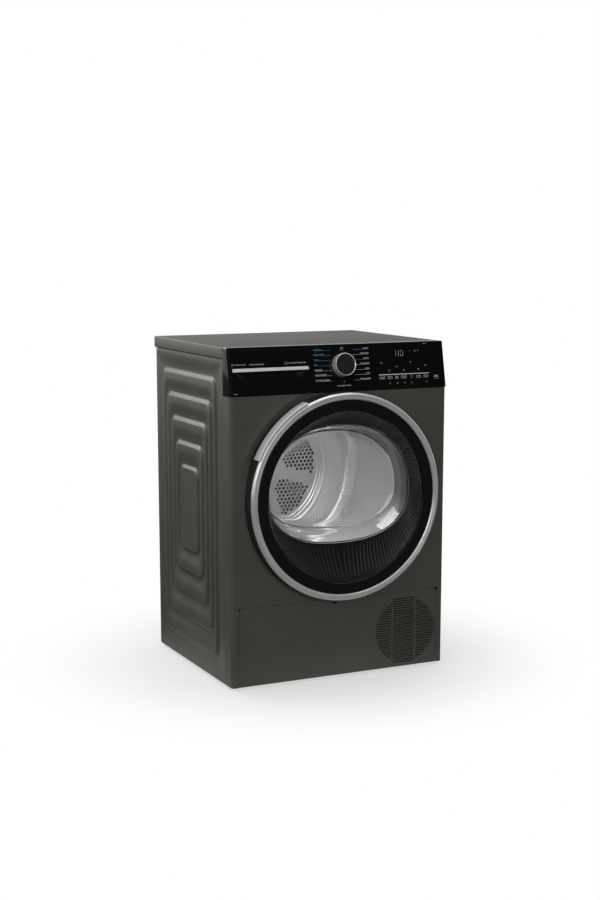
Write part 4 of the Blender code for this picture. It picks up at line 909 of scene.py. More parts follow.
class DRYER_OT_back(bpy.types.Operator):
    """Build the rear panel and the duct cover"""
    bl_idname = "dryer.back"
    bl_label = "Back"

    def execute(self, context):
        """The duct cover is its outline carried back, drawn in by a quarter circle at the
        rim and by a shallow step round a raised centre."""
        start, back = span("rear_duct_cover", 1)
        low = span("rear_duct_cover", 2)[0]
        rows = [(0.0, start), (0.0, back - 0.014)]
        turn = np.linspace(0.15, 1.0, 6) * math.pi / 2.0
        rows += [(0.012 * (1.0 - math.cos(a)), back - 0.014 + 0.012 * math.sin(a)) for a in turn]
        rows += [(0.034, back - 0.002), (0.037, back - 0.0035), (0.043, back - 0.0035),
                 (0.046, back - 0.0005), (0.070, back)]
        outside = [self.outline(inset, low) for inset, _ in rows]
        wall = 0.0015
        inside = [self.outline(inset + wall, low) for inset, _ in rows]
        skin = [at(o[:, 0], d, o[:, 1]) for o, (_, d) in zip(outside, rows)]
        lining = [at(o[:, 0], max(d - wall, start), o[:, 1]) for o, (_, d) in zip(inside, rows)]
        cover = capped_solid("duct_cover_pressing", np.array(lining[::-1] + skin), 40.0)
        give(cover, "cabinet", plated_steel(), "steel", "rear_duct_cover")
        self.rear_sheet()
        self.screws()
        return {'FINISHED'}

    def outline(self, inset, low):
        """Three quarters of a circle round the drum's axis with a foot that runs down."""
        radius, foot = 0.235 - inset, 0.130 - inset
        lean = math.acos(foot / radius)
        turn = np.linspace(-lean, math.pi + lean, 72)
        disc = np.stack([radius * np.cos(turn), DRUM_HEIGHT + radius * np.sin(turn)], 1)
        return np.concatenate([disc, [(-foot, low + inset), (foot, low + inset)]])

    def rear_sheet(self):
        """Flat sheet with six air holes and a row of slots, as one cut plate."""
        x, depth, height = (span("rear_panel", axis) for axis in range(3))
        outlines = [rounded_outline(x[1], (height[1] - height[0]) / 2.0, 0.003, 3)
                    + (0.0, sum(height) / 2.0)]
        turn = np.arange(24) * TAU / 24
        ring = np.stack([np.cos(turn), np.sin(turn)], 1)
        for step in range(6):
            angle = math.radians(60.0 * step + 30.0)
            centre = (0.13 * math.cos(angle), DRUM_HEIGHT + 0.13 * math.sin(angle))
            outlines.append(0.035 * ring + centre)
        for side in (-1.0, 1.0):
            for row in range(9):
                slot = rounded_outline(0.020, 0.002, 0.0019, 4)
                outlines.append(slot + (side * 0.225, 0.150 + 0.011 * row))
        sheet = flat_cut("rear_sheet", outlines, depth[0], depth[1] - depth[0])
        give(sheet, "cabinet", enamel(), "cabinet_enamel", "rear_panel")

    def screws(self):
        """Domed screw heads: a low dome on a short wall, in a row round the rear sheet."""
        depth = span("rear_panel", 1)[1]
        dome = [(0.0045, 0.0), (0.0045, 0.0012), (0.0036, 0.0022), (0.0018, 0.0027),
                (0.0006, 0.0027)]
        heads = []
        places = [(side * 0.287, height) for side in (-1.0, 1.0)
                  for height in (0.05, 0.24, 0.43, 0.62, 0.79)]
        places += [(x, 0.795) for x in (-0.16, 0.0, 0.16)]
        for number, (x, height) in enumerate(places):
            loops = turned_loops([(r, depth + d) for r, d in dome], (x, height), 12)
            heads.append(capped_solid("screw_" + str(number), loops, 60.0))
        piece = merged("rear_screws", *heads)
        give(piece, "cabinet", plated_steel(), "steel")


# ------------------------------------------------------- the control panel

def lean(height):
    """Depth of the control panel's leaning face at a height."""
    return (np.asarray(height) - FASCIA_LOW) * SLOPE


def leaning_slab(name, low, high, corner, edge, front, thickness):
    """A slab whose front and back both follow the leaning face."""
    loops = slab_loops((low[0], front, low[1]), (high[0], front + thickness, high[1]), corner,
                       edge)
    x, depth, height = np.moveaxis(loops, -1, 0)
    return capped_solid(name, at(x, depth + lean(height), height))


SEGMENTS = {"0": "abcdef", "1": "bc", "2": "abged", "3": "abgcd", "4": "fgbc",
            "5": "afgcd", "6": "afgedc", "7": "abc", "8": "abcdefg", "9": "abcdfg"}


def segment_boxes(letter_bars, x, height, wide, tall, stroke):
    """Boxes (left, low, right, high) for the bars of one seven-bar figure."""
    mid = height + tall / 2.0
    bars = {"a": (x, height + tall - stroke, x + wide, height + tall),
            "d": (x, height, x + wide, height + stroke),
            "g": (x, mid - stroke / 2.0, x + wide, mid + stroke / 2.0),
            "f": (x, mid, x + stroke, height + tall),
            "e": (x, height, x + stroke, mid),
            "b": (x + wide - stroke, mid, x + wide, height + tall),
            "c": (x + wide - stroke, height, x + wide, mid)}
    return [bars[bar] for bar in letter_bars]


def filler_line(chance, x, height, count, tall, stroke):
    """Boxes of a line of meaningless little figures that stands for a printed label."""
    boxes = []
    wide = tall * 0.62
    for _ in range(count):
        bars = "".join(sorted(chance.choice(list("abcdefg"), size=4, replace=False)))
        boxes += segment_boxes(bars, x, height, wide, tall * chance.choice((0.75, 1.0)), stroke)
        x += wide + tall * 0.26
    return boxes


def filler_length(count, tall):
    """Length of a filler line."""
    return count * tall * 0.88 - tall * 0.26


def printed(name, boxes, body, finish, proud=0.00012, slot="white_plastic"):
    """Thin flat marks on the leaning face: every box becomes eight points and six quads."""
    left, low, right, high = np.array(boxes).T
    x = np.stack([left, right, right, left] * 2, 1)
    height = np.stack([low, low, high, high] * 2, 1)
    skin = np.array([-proud] * 4 + [-0.00002] * 4)
    points = at(x, lean(height) + skin, height).reshape(-1, 3)
    faces = np.array([[0, 1, 2, 3], [7, 6, 5, 4], [0, 4, 5, 1], [1, 5, 6, 2], [2, 6, 7, 3],
                      [3, 7, 4, 0]])
    everything = (faces + 8 * np.arange(len(boxes))[:, None, None]).reshape(-1, 4)
    return give(store(name, points, everything.tolist()), body, finish, slot)


def ring_boxes(x, height, radius, stroke, start=0.0, end=360.0, count=14):
    """Small boxes along an arc, close enough to read as a ring."""
    turn = np.radians(np.linspace(start, end, count))
    cx, cz = x + radius * np.cos(turn), height + radius * np.sin(turn)
    return list(zip(cx - stroke / 2.0, cz - stroke / 2.0, cx + stroke / 2.0, cz + stroke / 2.0))


class DRYER_OT_fascia(bpy.types.Operator):
    """Build the control panel and its printed marks"""
    bl_idname = "dryer.fascia"
    bl_label = "Control panel"
    # A label's height, its length in figures, and whether it is highlighted.
    left_labels = ((0.8330, 9, True), (0.8210, 11, True), (0.8086, 5, True), (0.7964, 3, True),
                   (0.7840, 8, False), (0.7720, 12, False), (0.7590, 15, False))
    right_labels = ((0.8330, 6, True), (0.8210, 9, False), (0.8086, 6, True), (0.7964, 10, False),
                    (0.7840, 5, False), (0.7720, 4, False), (0.7590, 11, False))
    left_edge, right_edge = -0.068, 0.084
    tall, small = 0.0030, 0.0024
    digits = (("1", 0.1545), ("1", 0.1625), ("0", 0.1745))
    icons = ((0.118, 0.796), (0.161, 0.786), (0.202, 0.7956), (0.244, 0.787),
             (0.139, 0.777), (0.181, 0.777), (0.223, 0.7776))
    low_icons = (0.139, 0.160, 0.181, 0.201, 0.244)
    buttons = ((0.109, 0.128), (0.133, 0.149), (0.154, 0.166), (0.171, 0.190),
               (0.198, 0.207), (0.215, 0.230), (0.236, 0.251))
    button_rows = (0.7605, 0.7565)
    start_sign = ((0.268, 0.7555, 0.2688, 0.7615), (0.2698, 0.7565, 0.2712, 0.7605),
                  (0.2712, 0.7575, 0.2726, 0.7595), (0.2745, 0.7555, 0.2756, 0.7615),
                  (0.2770, 0.7555, 0.2781, 0.7615), (0.268, 0.7520, 0.281, 0.7524))

    def execute(self, context):
        """A slab that leans at the front and is square at the back, hollowed from behind."""
        back = span("fascia", 1)[1]
        loops = slab_loops((-HALF, 0.0, FASCIA_LOW), (HALF, back, FASCIA_HIGH), 0.002, 0.0006)
        x, depth, height = np.moveaxis(loops, -1, 0)
        face = np.where(depth < back / 2.0, 1.0, 0.0)
        shell = capped_solid("fascia_moulding", at(x, depth + face * lean(height), height))
        wall = 0.0025
        inner = slab_loops((-HALF + wall, wall, FASCIA_LOW + wall),
                           (HALF - wall, back + 0.03, FASCIA_HIGH - wall), 0.001, 0.0005)
        x, depth, height = np.moveaxis(inner, -1, 0)
        face = np.where(depth < back / 2.0, 1.0, 0.0)
        hollow = capped_solid("hollow", at(x, depth + face * lean(height), height))
        drawer = [span("tank_front", axis) for axis in (0, 2)]
        gap = 0.0009
        opening = slab("opening", (drawer[0][0] - gap, -0.03, drawer[1][0] - gap),
                       (drawer[0][1] + gap, 0.036, drawer[1][1] + gap), 0.002, 0.0002)
        window = [span("display_window", axis) for axis in (0, 2)]
        port = slab("port", (window[0][0] - 0.0003, -0.03, window[1][0] - 0.0003),
                    (window[0][1] + 0.0003, 0.036, window[1][1] + 0.0003), 0.001, 0.0002)
        carve(shell, hollow, opening, port)
        give(shell, "cabinet", gloss_black(), "gloss_black", "fascia")
        pane = leaning_slab("display_pane", (window[0][0], window[1][0]),
                            (window[0][1], window[1][1]), 0.001, 0.0002, 0.0, 0.002)
        give(pane, "cabinet", display_glass(), "tinted_glass", "display_window")
        self.marks(context.scene.dryer_panel)
        return {'FINISHED'}

    def marks(self, settings):
        """Programme labels with leader lines, the display figures and the button marks."""
        chance = np.random.default_rng(7)
        ink, blue = [], []
        stroke = settings.stroke
        knob = JOINTS["selector_turn"]["pos_m"]
        for height, count, tinted in self.left_labels:
            colour = blue if tinted else ink
            left = self.left_edge
            end = left + filler_length(count, self.tall)
            colour.extend(filler_line(chance, left, height, count, self.tall, stroke))
            reach = knob[0] - self.clear_of(knob, height)
            colour.append((left, height - 0.0016, max(end, min(reach, -0.022)),
                           height - 0.0012))
        for height, count, tinted in self.right_labels:
            colour = blue if tinted else ink
            right = self.right_edge
            left = right - filler_length(count, self.tall)
            ink.extend(filler_line(chance, left, height, count, self.tall, stroke))
            reach = knob[0] + self.clear_of(knob, height)
            colour.append((min(left, max(reach, 0.040)), height - 0.0016, right,
                           height - 0.0012))
        ink += filler_line(chance, -0.011, 0.7440, 14, 0.0032, stroke)
        ink += ring_boxes(0.010, 0.8345, 0.0036, 0.0007, -240.0, 60.0)
        ink.append((0.0096, 0.8345, 0.0104, 0.8390))
        ink.append((0.0096, 0.7530, 0.0104, 0.7570))
        figures = []
        for figure, x in self.digits:
            figures += segment_boxes(SEGMENTS[figure], x, 0.8115, 0.0075, 0.0145, 0.0011)
        figures += [(0.2025, 0.8235, 0.2040, 0.8250)]
        figures += ring_boxes(0.2165, 0.8235, 0.0018, 0.0008)
        figures += segment_boxes("fgbc", 0.2235, 0.8215, 0.003, 0.005, 0.0006)
        for x, height in self.icons:
            ink += ring_boxes(x, height, 0.0017, 0.0007, -60.0, 240.0, 9)
        for x in self.low_icons:
            ink += ring_boxes(x, 0.7455, 0.0016, 0.0006, 0.0, 300.0, 8)
        ink.append((0.109, 0.7662, 0.253, 0.7680))
        for number, (left, right) in enumerate(self.buttons):
            colour = blue if number == 4 else ink
            count = int((right - left) / (self.small * 0.88))
            for row in self.button_rows:
                colour.extend(filler_line(chance, left, row, count, self.small, stroke * 0.8))
        ink += self.start_sign
        ink += filler_line(chance, 0.240, 0.8395, 8, 0.0018, stroke * 0.7)
        printed("panel_print", ink, "cabinet", printed_ink("panel_ink", settings.ink))
        printed("panel_print_blue", blue, "cabinet", printed_ink("blue_ink", settings.accent))
        printed("display_figures", figures, "cabinet",
                printed_ink("figure_ink", [c * 0.55 for c in settings.ink]))

    def clear_of(self, knob, height):
        """How far from the knob's middle a leader line at a height may start."""
        radius = span("selector_knob", 0)[1] - knob[0] + 0.002
        return math.sqrt(max(radius ** 2 - (height - knob[2]) ** 2, 0.0001))


class DRYER_OT_selector(bpy.types.Operator):
    """Build the programme knob"""
    bl_idname = "dryer.selector"
    bl_label = "Programme knob"

    def loops(self, profile, segments=112):
        """A profile of (radius, length) points turned about the knob's own axis, which runs
        into the leaning face."""
        joint = JOINTS["selector_turn"]
        inward = np.array(joint["axis"], float)
        upward = np.cross([1.0, 0.0, 0.0], inward) * -1.0
        turn = np.arange(segments) * TAU / segments
        radius, length = np.asarray(profile, float).T
        ring = np.cos(turn)[:, None] * (1.0, 0.0, 0.0) + np.sin(turn)[:, None] * upward
        return np.array(joint["pos_m"]) + radius[:, None, None] * ring + (
            length[:, None, None] * inward)

    def execute(self, context):
        """The skirt flares slightly to its base and rolls over a thin lip; the cap is dished
        and sits just inside the lip."""
        outer, face = 0.029, -0.020
        bore = outer - 0.0035
        lip = bowed([(bore, face + 0.0016), (bore + 0.0009, face + 0.0004),
                     (outer - 0.0020, face), (outer - 0.0009, face + 0.0012),
                     (outer - 0.0007, face + 0.0040)], 4)
        profile = np.concatenate([lip, [(outer - 0.0002, -0.0022), (outer, -0.0007),
                                        (bore, -0.0007)]])
        skirt = closed_ring("knob_skirt", self.loops(profile), 40.0)
        give(skirt, "selector", chrome(), "chrome", "selector_knob")
        disc = bore - 0.0003
        dish = bowed([(0.0008, face + 0.0016), (0.009, face + 0.0014), (0.018, face + 0.0011),
                      (disc - 0.0014, face + 0.0010), (disc - 0.0003, face + 0.0018)], 4)
        profile = np.concatenate([dish, [(disc, face + 0.0048), (0.006, face + 0.0048),
                                         (0.006, -0.003), (0.0033, -0.003),
                                         (0.0033, face + 0.0052), (0.0008, face + 0.0052)]])
        cap = capped_solid("knob_face", self.loops(profile), 40.0)
        give(cap, "selector", moulded_black(), "gloss_black", "knob_cap")
        return {'FINISHED'}


class DRYER_OT_tank_drawer(bpy.types.Operator):
    """Build the water tank drawer's front and strip"""
    bl_idname = "dryer.tank_drawer"
    bl_label = "Tank drawer"
    scoop_foot, scoop_depth = 0.742, 0.0120

    def execute(self, context):
        """The front is a grid whose scoop deepens upward to an overhang below the strip and
        fades towards both sides."""
        left, right = span("tank_front", 0)
        low, high = span("tank_front", 2)
        strip_low, strip_high = span("tank_grip_strip", 2)
        top, bottom, deep = strip_low - 0.0014, self.scoop_foot, self.scoop_depth
        soft = 0.0012
        x = np.concatenate([[left, left + soft / 2], np.linspace(left + soft, left + 0.045, 22),
                            np.linspace(left + 0.06, right - 0.06, 8),
                            np.linspace(right - 0.045, right - soft, 22),
                            [right - soft / 2, right]])
        height = np.concatenate([[low, low + soft / 2, low + soft, 0.739],
                                 np.linspace(bottom, top - 0.0004, 18), [top, 0.790, 0.8, 0.82],
                                 [high - soft, high - soft / 2, high]])
        x, height = np.meshgrid(x, height, indexing="ij")
        sides = ease((x - left - 0.008) / 0.034) * ease((right - 0.0055 - x) / 0.034)
        rise = np.clip((height - bottom) / (top - bottom), 0.0, 1.0) ** 1.3
        scoop = deep * sides * rise * (height < top - 0.0002)
        near = np.minimum(np.minimum(x - left, right - x), np.minimum(height - low, high - height))
        edge = soft * (1.0 - np.sqrt(1.0 - (1.0 - np.clip(near / soft, 0.0, 1.0)) ** 2)) * 0.7
        front = at(x, lean(height) + scoop + edge, height)
        back = at(x, lean(height) + 0.016, height)
        piece = thick_sheet("tank_drawer_front", front, back, quads(*x.shape), 55.0)
        give(piece, "tank_drawer", gloss_black(), "gloss_black", "tank_front")
        ends = span("tank_grip_strip", 0)
        strip = leaning_slab("grip_strip", (ends[0], strip_low), (ends[1], strip_high), 0.0012,
                             0.0011, -0.0033, 0.003)
        # The strip is chrome; its near-white finish is a painted highlight.
        give(strip, "tank_drawer", painted_highlight_trim(), "chrome", "tank_grip_strip")
        self.marks(context.scene.dryer_panel)
        return {'FINISHED'}

    def marks(self, settings):
        """Small filler labels above the strip and one below the scoop."""
        chance = np.random.default_rng(11)
        stroke = settings.stroke * 0.85
        boxes = ring_boxes(-0.2855, 0.8052, 0.0027, 0.0007)
        boxes += filler_line(chance, -0.2805, 0.8038, 13, 0.0026, stroke)
        boxes += filler_line(chance, -0.2420, 0.8038, 17, 0.0026, stroke)
        boxes += ring_boxes(-0.1455, 0.8056, 0.0027, 0.0007)
        boxes += filler_line(chance, -0.1405, 0.8042, 22, 0.0026, stroke)
        boxes += filler_line(chance, -0.2880, 0.7352, 4, 0.0026, settings.stroke)
        printed("drawer_print", boxes, "tank_drawer", printed_ink("panel_ink", settings.ink))


# ---------------------------------------------------------------- the door

def window_outline(half_wide, up, down, count):
    """Two half superellipses that meet at their widest: each coordinate is its half size
    times the cosine or sine to the power two over the curve's exponent."""
    turn = np.arange(count) * TAU / count
    c, s = np.cos(turn), np.sin(turn)
    power = 2.0 / np.where(s >= 0.0, 2.2, 2.4)
    tall = np.where(s >= 0.0, up, down)
    return np.stack([half_wide * np.sign(c) * np.abs(c) ** power,
                     WINDOW_HEIGHT + tall * np.sign(s) * np.abs(s) ** power], 1)


class DRYER_OT_door_ring(bpy.types.Operator):
    """Build the door's bright rim, its grip and the dark lens ring"""
    bl_idname = "dryer.door_ring"
    bl_label = "Door rim"
    lug_low, lug_high, lug_front = 0.0300, 0.0420, -0.0325
    grip_start, grip_end = 114.7, 156.1
    lens_inner = 0.2155

    def execute(self, context):
        segments = context.scene.dryer_door.segments
        self.rim(segments)
        self.grip()
        self.lens_ring(segments)
        return {'FINISHED'}

    def rim(self, segments):
        """A bright turned section with a rounded crown, a fine groove and an inner band that
        falls to the lens ring, on a black wall.  The wall is cut short behind at the two
        hinge lugs."""
        outer, inner = RING_RADIUS, LENS_OUTER + 0.0003
        front, back = RING_FRONT, RING_BACK
        shoulder = [(outer - 0.0008, front + 0.0082), (outer - 0.0014, front + 0.0062),
                    (outer - 0.0044, front + 0.0017), (outer - 0.0082, front),
                    (outer - 0.0112, front + 0.0010)]
        band = [(outer - 0.0122, front + 0.0017), (outer - 0.0138, front + 0.0009),
                (outer - 0.0160, front + 0.0018), (inner + 0.0006, front + 0.0042),
                (inner, front + 0.0060)]
        inside = [(inner + 0.0010, front + 0.0068), (inner + 0.0020, front + 0.0058),
                  (outer - 0.0140, front + 0.0036), (outer - 0.0085, front + 0.0026),
                  (outer - 0.0058, front + 0.0042), (outer - 0.0030, front + 0.0082)]
        section = np.concatenate([bowed(shoulder, 5), bowed(band, 4), inside])
        loops = turned_loops(section, (0.0, DOOR_HEIGHT), segments)
        give(closed_ring("door_rim", loops, 50.0), "door", chrome(), "chrome", "door_outer_ring")
        section = [(outer - 0.0012, back), (outer, back + 0.008), (outer, front + 0.014),
                   (outer - 0.0008, front + 0.0088), (outer - 0.0030, front + 0.0088),
                   (outer - 0.0018, front + 0.0165), (outer - 0.0018, back + 0.0080),
                   (outer - 0.0030, back)]
        sides = math.asin(self.lug_low / outer), math.asin(self.lug_high / inner)
        edges = [side + hair for side in sides for hair in (-0.00004, 0.00004)]
        loops = turned_loops(section, (0.0, DOOR_HEIGHT), segments,
                             edges + [-edge for edge in edges])
        tilt = np.abs(np.arctan2(loops[..., 2] - DOOR_HEIGHT, loops[..., 0]))
        notch = (tilt > sides[0]) & (tilt < sides[1])
        cut = FRONT_Y + self.lug_front
        loops[..., 1] = np.where(notch, np.minimum(loops[..., 1], cut), loops[..., 1])
        wall = closed_ring("door_rim_wall", loops, 50.0)
        give(wall, "door", moulded_black(), "gloss_black", "door_outer_ring")

    def grip(self):
        """A rounded bar carried along its arc on the rim, drawn in at both ends."""
        start, end = math.radians(self.grip_start), math.radians(self.grip_end)
        low, high = RING_RADIUS + 0.0003, RING_RADIUS + 0.0047
        half = 0.0140
        section = rounded_outline((high - low) / 2.0, half, 0.0019, 5)
        turn = np.concatenate([[start, start + 0.0012, start + 0.0035],
                               np.linspace(start + 0.01, end - 0.01, 40),
                               [end - 0.0035, end - 0.0012, end]])
        shrink = np.ones(len(turn))
        shrink[[0, -1]] = 0.82
        shrink[[1, -2]] = 0.95
        radius = (low + high) / 2.0 + section[None, :, 0] * shrink[:, None]
        depth = RING_FRONT + 0.0016 + half + section[None, :, 1] * shrink[:, None]
        loops = at(radius * np.cos(turn)[:, None], depth,
                   DOOR_HEIGHT + radius * np.sin(turn)[:, None])
        # The grip is chrome; its near-white finish is a painted highlight.
        give(capped_solid("door_grip_bar", loops), "door", painted_highlight_trim(), "chrome", "door_grip")

    def lens_ring(self, segments):
        """A flat turned band with eased edges that slopes gently inward."""
        outer, inner, front = LENS_OUTER, self.lens_inner, LENS_FRONT
        profile = [(outer, front + 0.003), (outer, front + 0.0008), (outer - 0.0012, front),
                   (inner + 0.010, front + 0.0004), (inner + 0.0012, front + 0.0010),
                   (inner, front + 0.0024), (inner, front + 0.004), (outer - 0.002, front + 0.004)]
        loops = turned_loops(profile, (0.0, DOOR_HEIGHT), segments)
        give(closed_ring("door_lens_band", loops), "door", gloss_black(), "gloss_black",
             "door_lens_ring")


class DRYER_OT_door_funnel(bpy.types.Operator):
    """Build the ribbed funnel between the lens ring and the window"""
    bl_idname = "dryer.door_funnel"
    bl_label = "Door funnel"

    def execute(self, context):
        """Straight blend from the lens ring's circle to the window's outline, bowed a little;
        the ribs are a narrow periodic hump that fades at both ends of each rib."""
        settings = context.scene.dryer_door
        count = settings.rib_count * 8
        front, back = span("door_funnel", 1)
        turn = np.arange(count) * TAU / count
        circle = np.stack([np.cos(turn), np.sin(turn)], 1) * 0.2140 + (0.0, DOOR_HEIGHT)
        window = window_outline(WINDOW_HALF_WIDTH, WINDOW_UP, WINDOW_DOWN, count)
        share = np.concatenate([[0.0, 0.03], np.linspace(0.07, 0.93, 12), [0.97, 1.0]])
        flat = circle * (1.0 - share[:, None, None]) + window * share[:, None, None]
        phase = (np.arange(count) % 8) / 8.0
        hump = np.maximum(np.cos((phase - 0.5) * TAU), 0.0) ** 4
        lift = settings.rib_height * hump * (ease((share - 0.04) / 0.12)
                                             * ease((0.97 - share) / 0.10))[:, None]
        depth = front + (back - 0.0018 - front) * share + 0.004 * np.sin(share * math.pi)
        depth = depth[:, None]
        skin = at(flat[..., 0], depth + 0.0002 - lift * 0.75, flat[..., 1])
        middle = np.array([0.0, DOOR_HEIGHT])
        pull = (middle - flat) / np.linalg.norm(middle - flat, axis=-1, keepdims=True)
        skin[..., 0] += pull[..., 0] * lift * 0.6
        skin[..., 2] += pull[..., 1] * lift * 0.6
        lining = at(flat[..., 0] - pull[..., 0] * 0.0006, depth + 0.0015, flat[..., 1]
                    - pull[..., 1] * 0.0006)
        funnel = closed_ring("door_funnel_ribbed", np.concatenate([skin, lining[::-1]]), 45.0)
        give(funnel, "door", funnel_black(), "matte_black", "door_funnel")
        return {'FINISHED'}


class DRYER_OT_door_window(bpy.types.Operator):
    """Build the clear bowl of the door"""
    bl_idname = "dryer.door_window"
    bl_label = "Door window"

    def skin(self, rows, offset, count):
        """Window outlines drawn in along the bowl's depth, less an offset."""
        loops = []
        for share, inset, depth in rows:
            draw = inset + offset
            line = window_outline(WINDOW_HALF_WIDTH - 0.005 * share - draw,
                                  WINDOW_UP - 0.014 * share - draw,
                                  WINDOW_DOWN - 0.024 * share - draw, count)
            loops.append(at(line[:, 0], depth, line[:, 1]))
        return np.array(loops)

    def execute(self, context):
        """The bowl's side runs back, rolls over a rounded corner and closes with a slightly
        crowned end; the inner skin repeats it one wall inward."""
        front, back = span("door_glass", 1)
        count, wall = 144, 0.0036
        side = [(0.0, 0.0, front), (0.25, 0.0, front + 0.014), (0.5, 0.0, front + 0.028),
                (0.8, 0.0015, front + 0.043), (0.93, 0.006, front + 0.051),
                (1.0, 0.014, back - 0.0035), (1.0, 0.030, back - 0.0016),
                (1.0, 0.060, back - 0.0006), (1.0, 0.090, back)]
        rows = bowed(side, 4)
        outer = self.skin(rows, 0.0, count)
        inner_rows = rows.copy()
        inner_rows[:, 2] -= wall * ease((rows[:, 2] - front - 0.030) / 0.020)
        inner = self.skin(inner_rows, wall, count)
        split = 17
        side_wall = closed_ring("door_bowl_side", np.concatenate([inner[:split][::-1],
                                                                  outer[:split]]), 60.0)
        give(side_wall, "door", edge_glass(), "door_glass", "door_glass")
        end = capped_solid("door_bowl_end", np.concatenate([inner[split:][::-1],
                                                            outer[split:]]), 60.0)
        give(end, "door", clear_glass(), "door_glass", "door_glass")
        return {'FINISHED'}


# ---------------------------------------------------------------- the drum

class DRYER_OT_drum(bpy.types.Operator):
    """Build the drum, its perforated rear disc and its lifters"""
    bl_idname = "dryer.drum"
    bl_label = "Drum"

    def execute(self, context):
        self.shell()
        self.rear_disc(context.scene.dryer_drum)
        for number in (1, 2, 3):
            self.lifter(context.scene.dryer_drum.lifter_height, "drum_lifter_" + str(number))
        return {'FINISHED'}

    def shell(self):
        """A turned sheet: a flat ring at the mouth, wall with three shallow beads, a rounded rear
        corner and a rear face with one ridge."""
        wall = 0.0013
        mouth, back = span("drum_front_seal", 0)[1], DRUM_BACK
        radius = DRUM_RADIUS - 0.0001
        corner = np.linspace(0.0, math.pi / 2.0, 12)
        bend = 0.038
        start, end = DRUM_FRONT + 0.006, back - 0.013 - bend
        along = np.linspace(start, end, 60)
        bead = sum(np.exp(-((along - place) / 0.004) ** 2) for place in (0.110, 0.125, 0.400))
        outer = [(mouth + 0.0001, DRUM_FRONT), (radius - 0.004, DRUM_FRONT)]
        outer += list(zip(radius - 0.0022 * bead, along))
        outer += list(zip(radius - bend + bend * np.cos(corner), end + bend * np.sin(corner)))
        rear = np.linspace(radius - bend - 0.006, 0.1805, 40)
        ridge = np.exp(-((rear - 0.1905) / 0.0022) ** 2)
        slope = end + bend + (radius - bend - rear) / (radius - bend - 0.1805) * (
            back - end - bend - 0.0015)
        outer += list(zip(rear, slope - 0.0022 * ridge))
        outer = np.array(outer)
        step = np.gradient(outer, axis=0)
        step /= np.hypot(*step.T)[:, None] + 1e-9
        inner = outer + np.stack([-step[:, 1], step[:, 0]], 1) * wall
        inner[0] = (mouth + 0.0001, DRUM_FRONT + wall)
        loops = turned_loops(np.concatenate([outer, inner[::-1]]), (0.0, DRUM_HEIGHT), 160)
        shell = closed_ring("drum_sheet", loops, 45.0)
        give(shell, "drum", drum_steel(), "steel", "drum_shell")

    def rear_disc(self, settings):
        """A disc cut with small holes on a triangular lattice, kept inside six sectors."""
        radius = span("drum_rear_disc", 0)[1] - 0.0065
        pitch, hole = settings.hole_pitch, settings.hole_radius
        turn = np.arange(96) * TAU / 96
        rim = np.stack([np.cos(turn), np.sin(turn)], 1) * radius + (0.0, DRUM_HEIGHT)
        side = np.arange(-20, 21)
        i, j = np.meshgrid(side, side)
        x, z = (i + 0.5 * (j % 2)).ravel() * pitch, j.ravel() * pitch * math.sqrt(0.75)
        reach = np.hypot(x, z)
        away = (np.degrees(np.arctan2(z, x)) + 16.0) % 60.0 - 30.0
        spoke = reach * np.sin(np.radians(30.0 - np.abs(away)))
        keep = (reach > 0.060) & (reach < 0.156) & (spoke > 0.017)
        small = np.arange(8) * TAU / 8
        dot = np.stack([np.cos(small), np.sin(small)], 1) * hole
        outlines = [rim] + [dot + (a, DRUM_HEIGHT + b) for a, b in zip(x[keep], z[keep])]
        depth = span("drum_rear_disc", 1)
        disc = flat_cut("drum_rear_plate", outlines, depth[0], depth[1] - depth[0])
        give(disc, "drum", disc_steel(), "steel", "drum_rear_disc")
        front = depth[0] - 0.0002
        beads = [closed_ring("bead", turned_loops(
            [(r + 0.0034, front), (r + 0.0022, front - 0.0019), (r, front - 0.0026),
             (r - 0.0022, front - 0.0019), (r - 0.0034, front)], (0.0, DRUM_HEIGHT), 128))
            for r in (0.1655, 0.1745)]
        give(merged("drum_rear_beads", *beads), "drum", disc_steel(), "steel")
        hub = bowed([(0.050, depth[0] - 0.0002), (0.044, depth[0] - 0.006),
                     (0.030, depth[0] - 0.0095), (0.012, depth[0] - 0.0105),
                     (0.001, depth[0] - 0.0106)], 4)
        loops = turned_loops(hub, (0.0, DRUM_HEIGHT), 48)
        give(capped_solid("drum_hub_cap", loops), "drum", disc_steel(), "steel")

    def lifter(self, tall, node):
        """A paddle: a bell-shaped ridge on the drum wall whose height eases to nothing at both
        ends.  Its back lies on the wall."""
        low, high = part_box(node)
        start, end = span(node, 1)
        middle = ((low.x + high.x) / 2.0, (low.z + high.z) / 2.0 - DRUM_HEIGHT)
        centre = math.atan2(middle[1], middle[0])
        wall = DRUM_RADIUS - 0.0036
        half = 0.125
        u, v = np.meshgrid(np.linspace(-1.0, 1.0, 33), np.linspace(0.0, 1.0, 49), indexing="ij")
        ends = np.clip(np.minimum(v / 0.10, (1.0 - v) / 0.10), 0.0, 1.0)
        ends = np.sqrt(1.0 - (1.0 - ends) ** 2)
        bell = (0.5 + 0.5 * np.cos(u * math.pi)) ** 0.75
        radius = wall - tall * bell * ends
        angle = centre + u * half * (0.35 + 0.65 * np.cos(bell * math.pi / 4.0))
        depth = start + (end - start) * v
        front = at(radius * np.cos(angle), depth, DRUM_HEIGHT + radius * np.sin(angle))
        rear = wall + 0.0006
        back = at(rear * np.cos(angle), depth, DRUM_HEIGHT + rear * np.sin(angle))
        paddle = thick_sheet(node + "_paddle", front, back, quads(*u.shape), 50.0)
        give(paddle, "drum", grey_moulding(), "grey_plastic", node)


# ------------------------------------------------------- pieces that remain

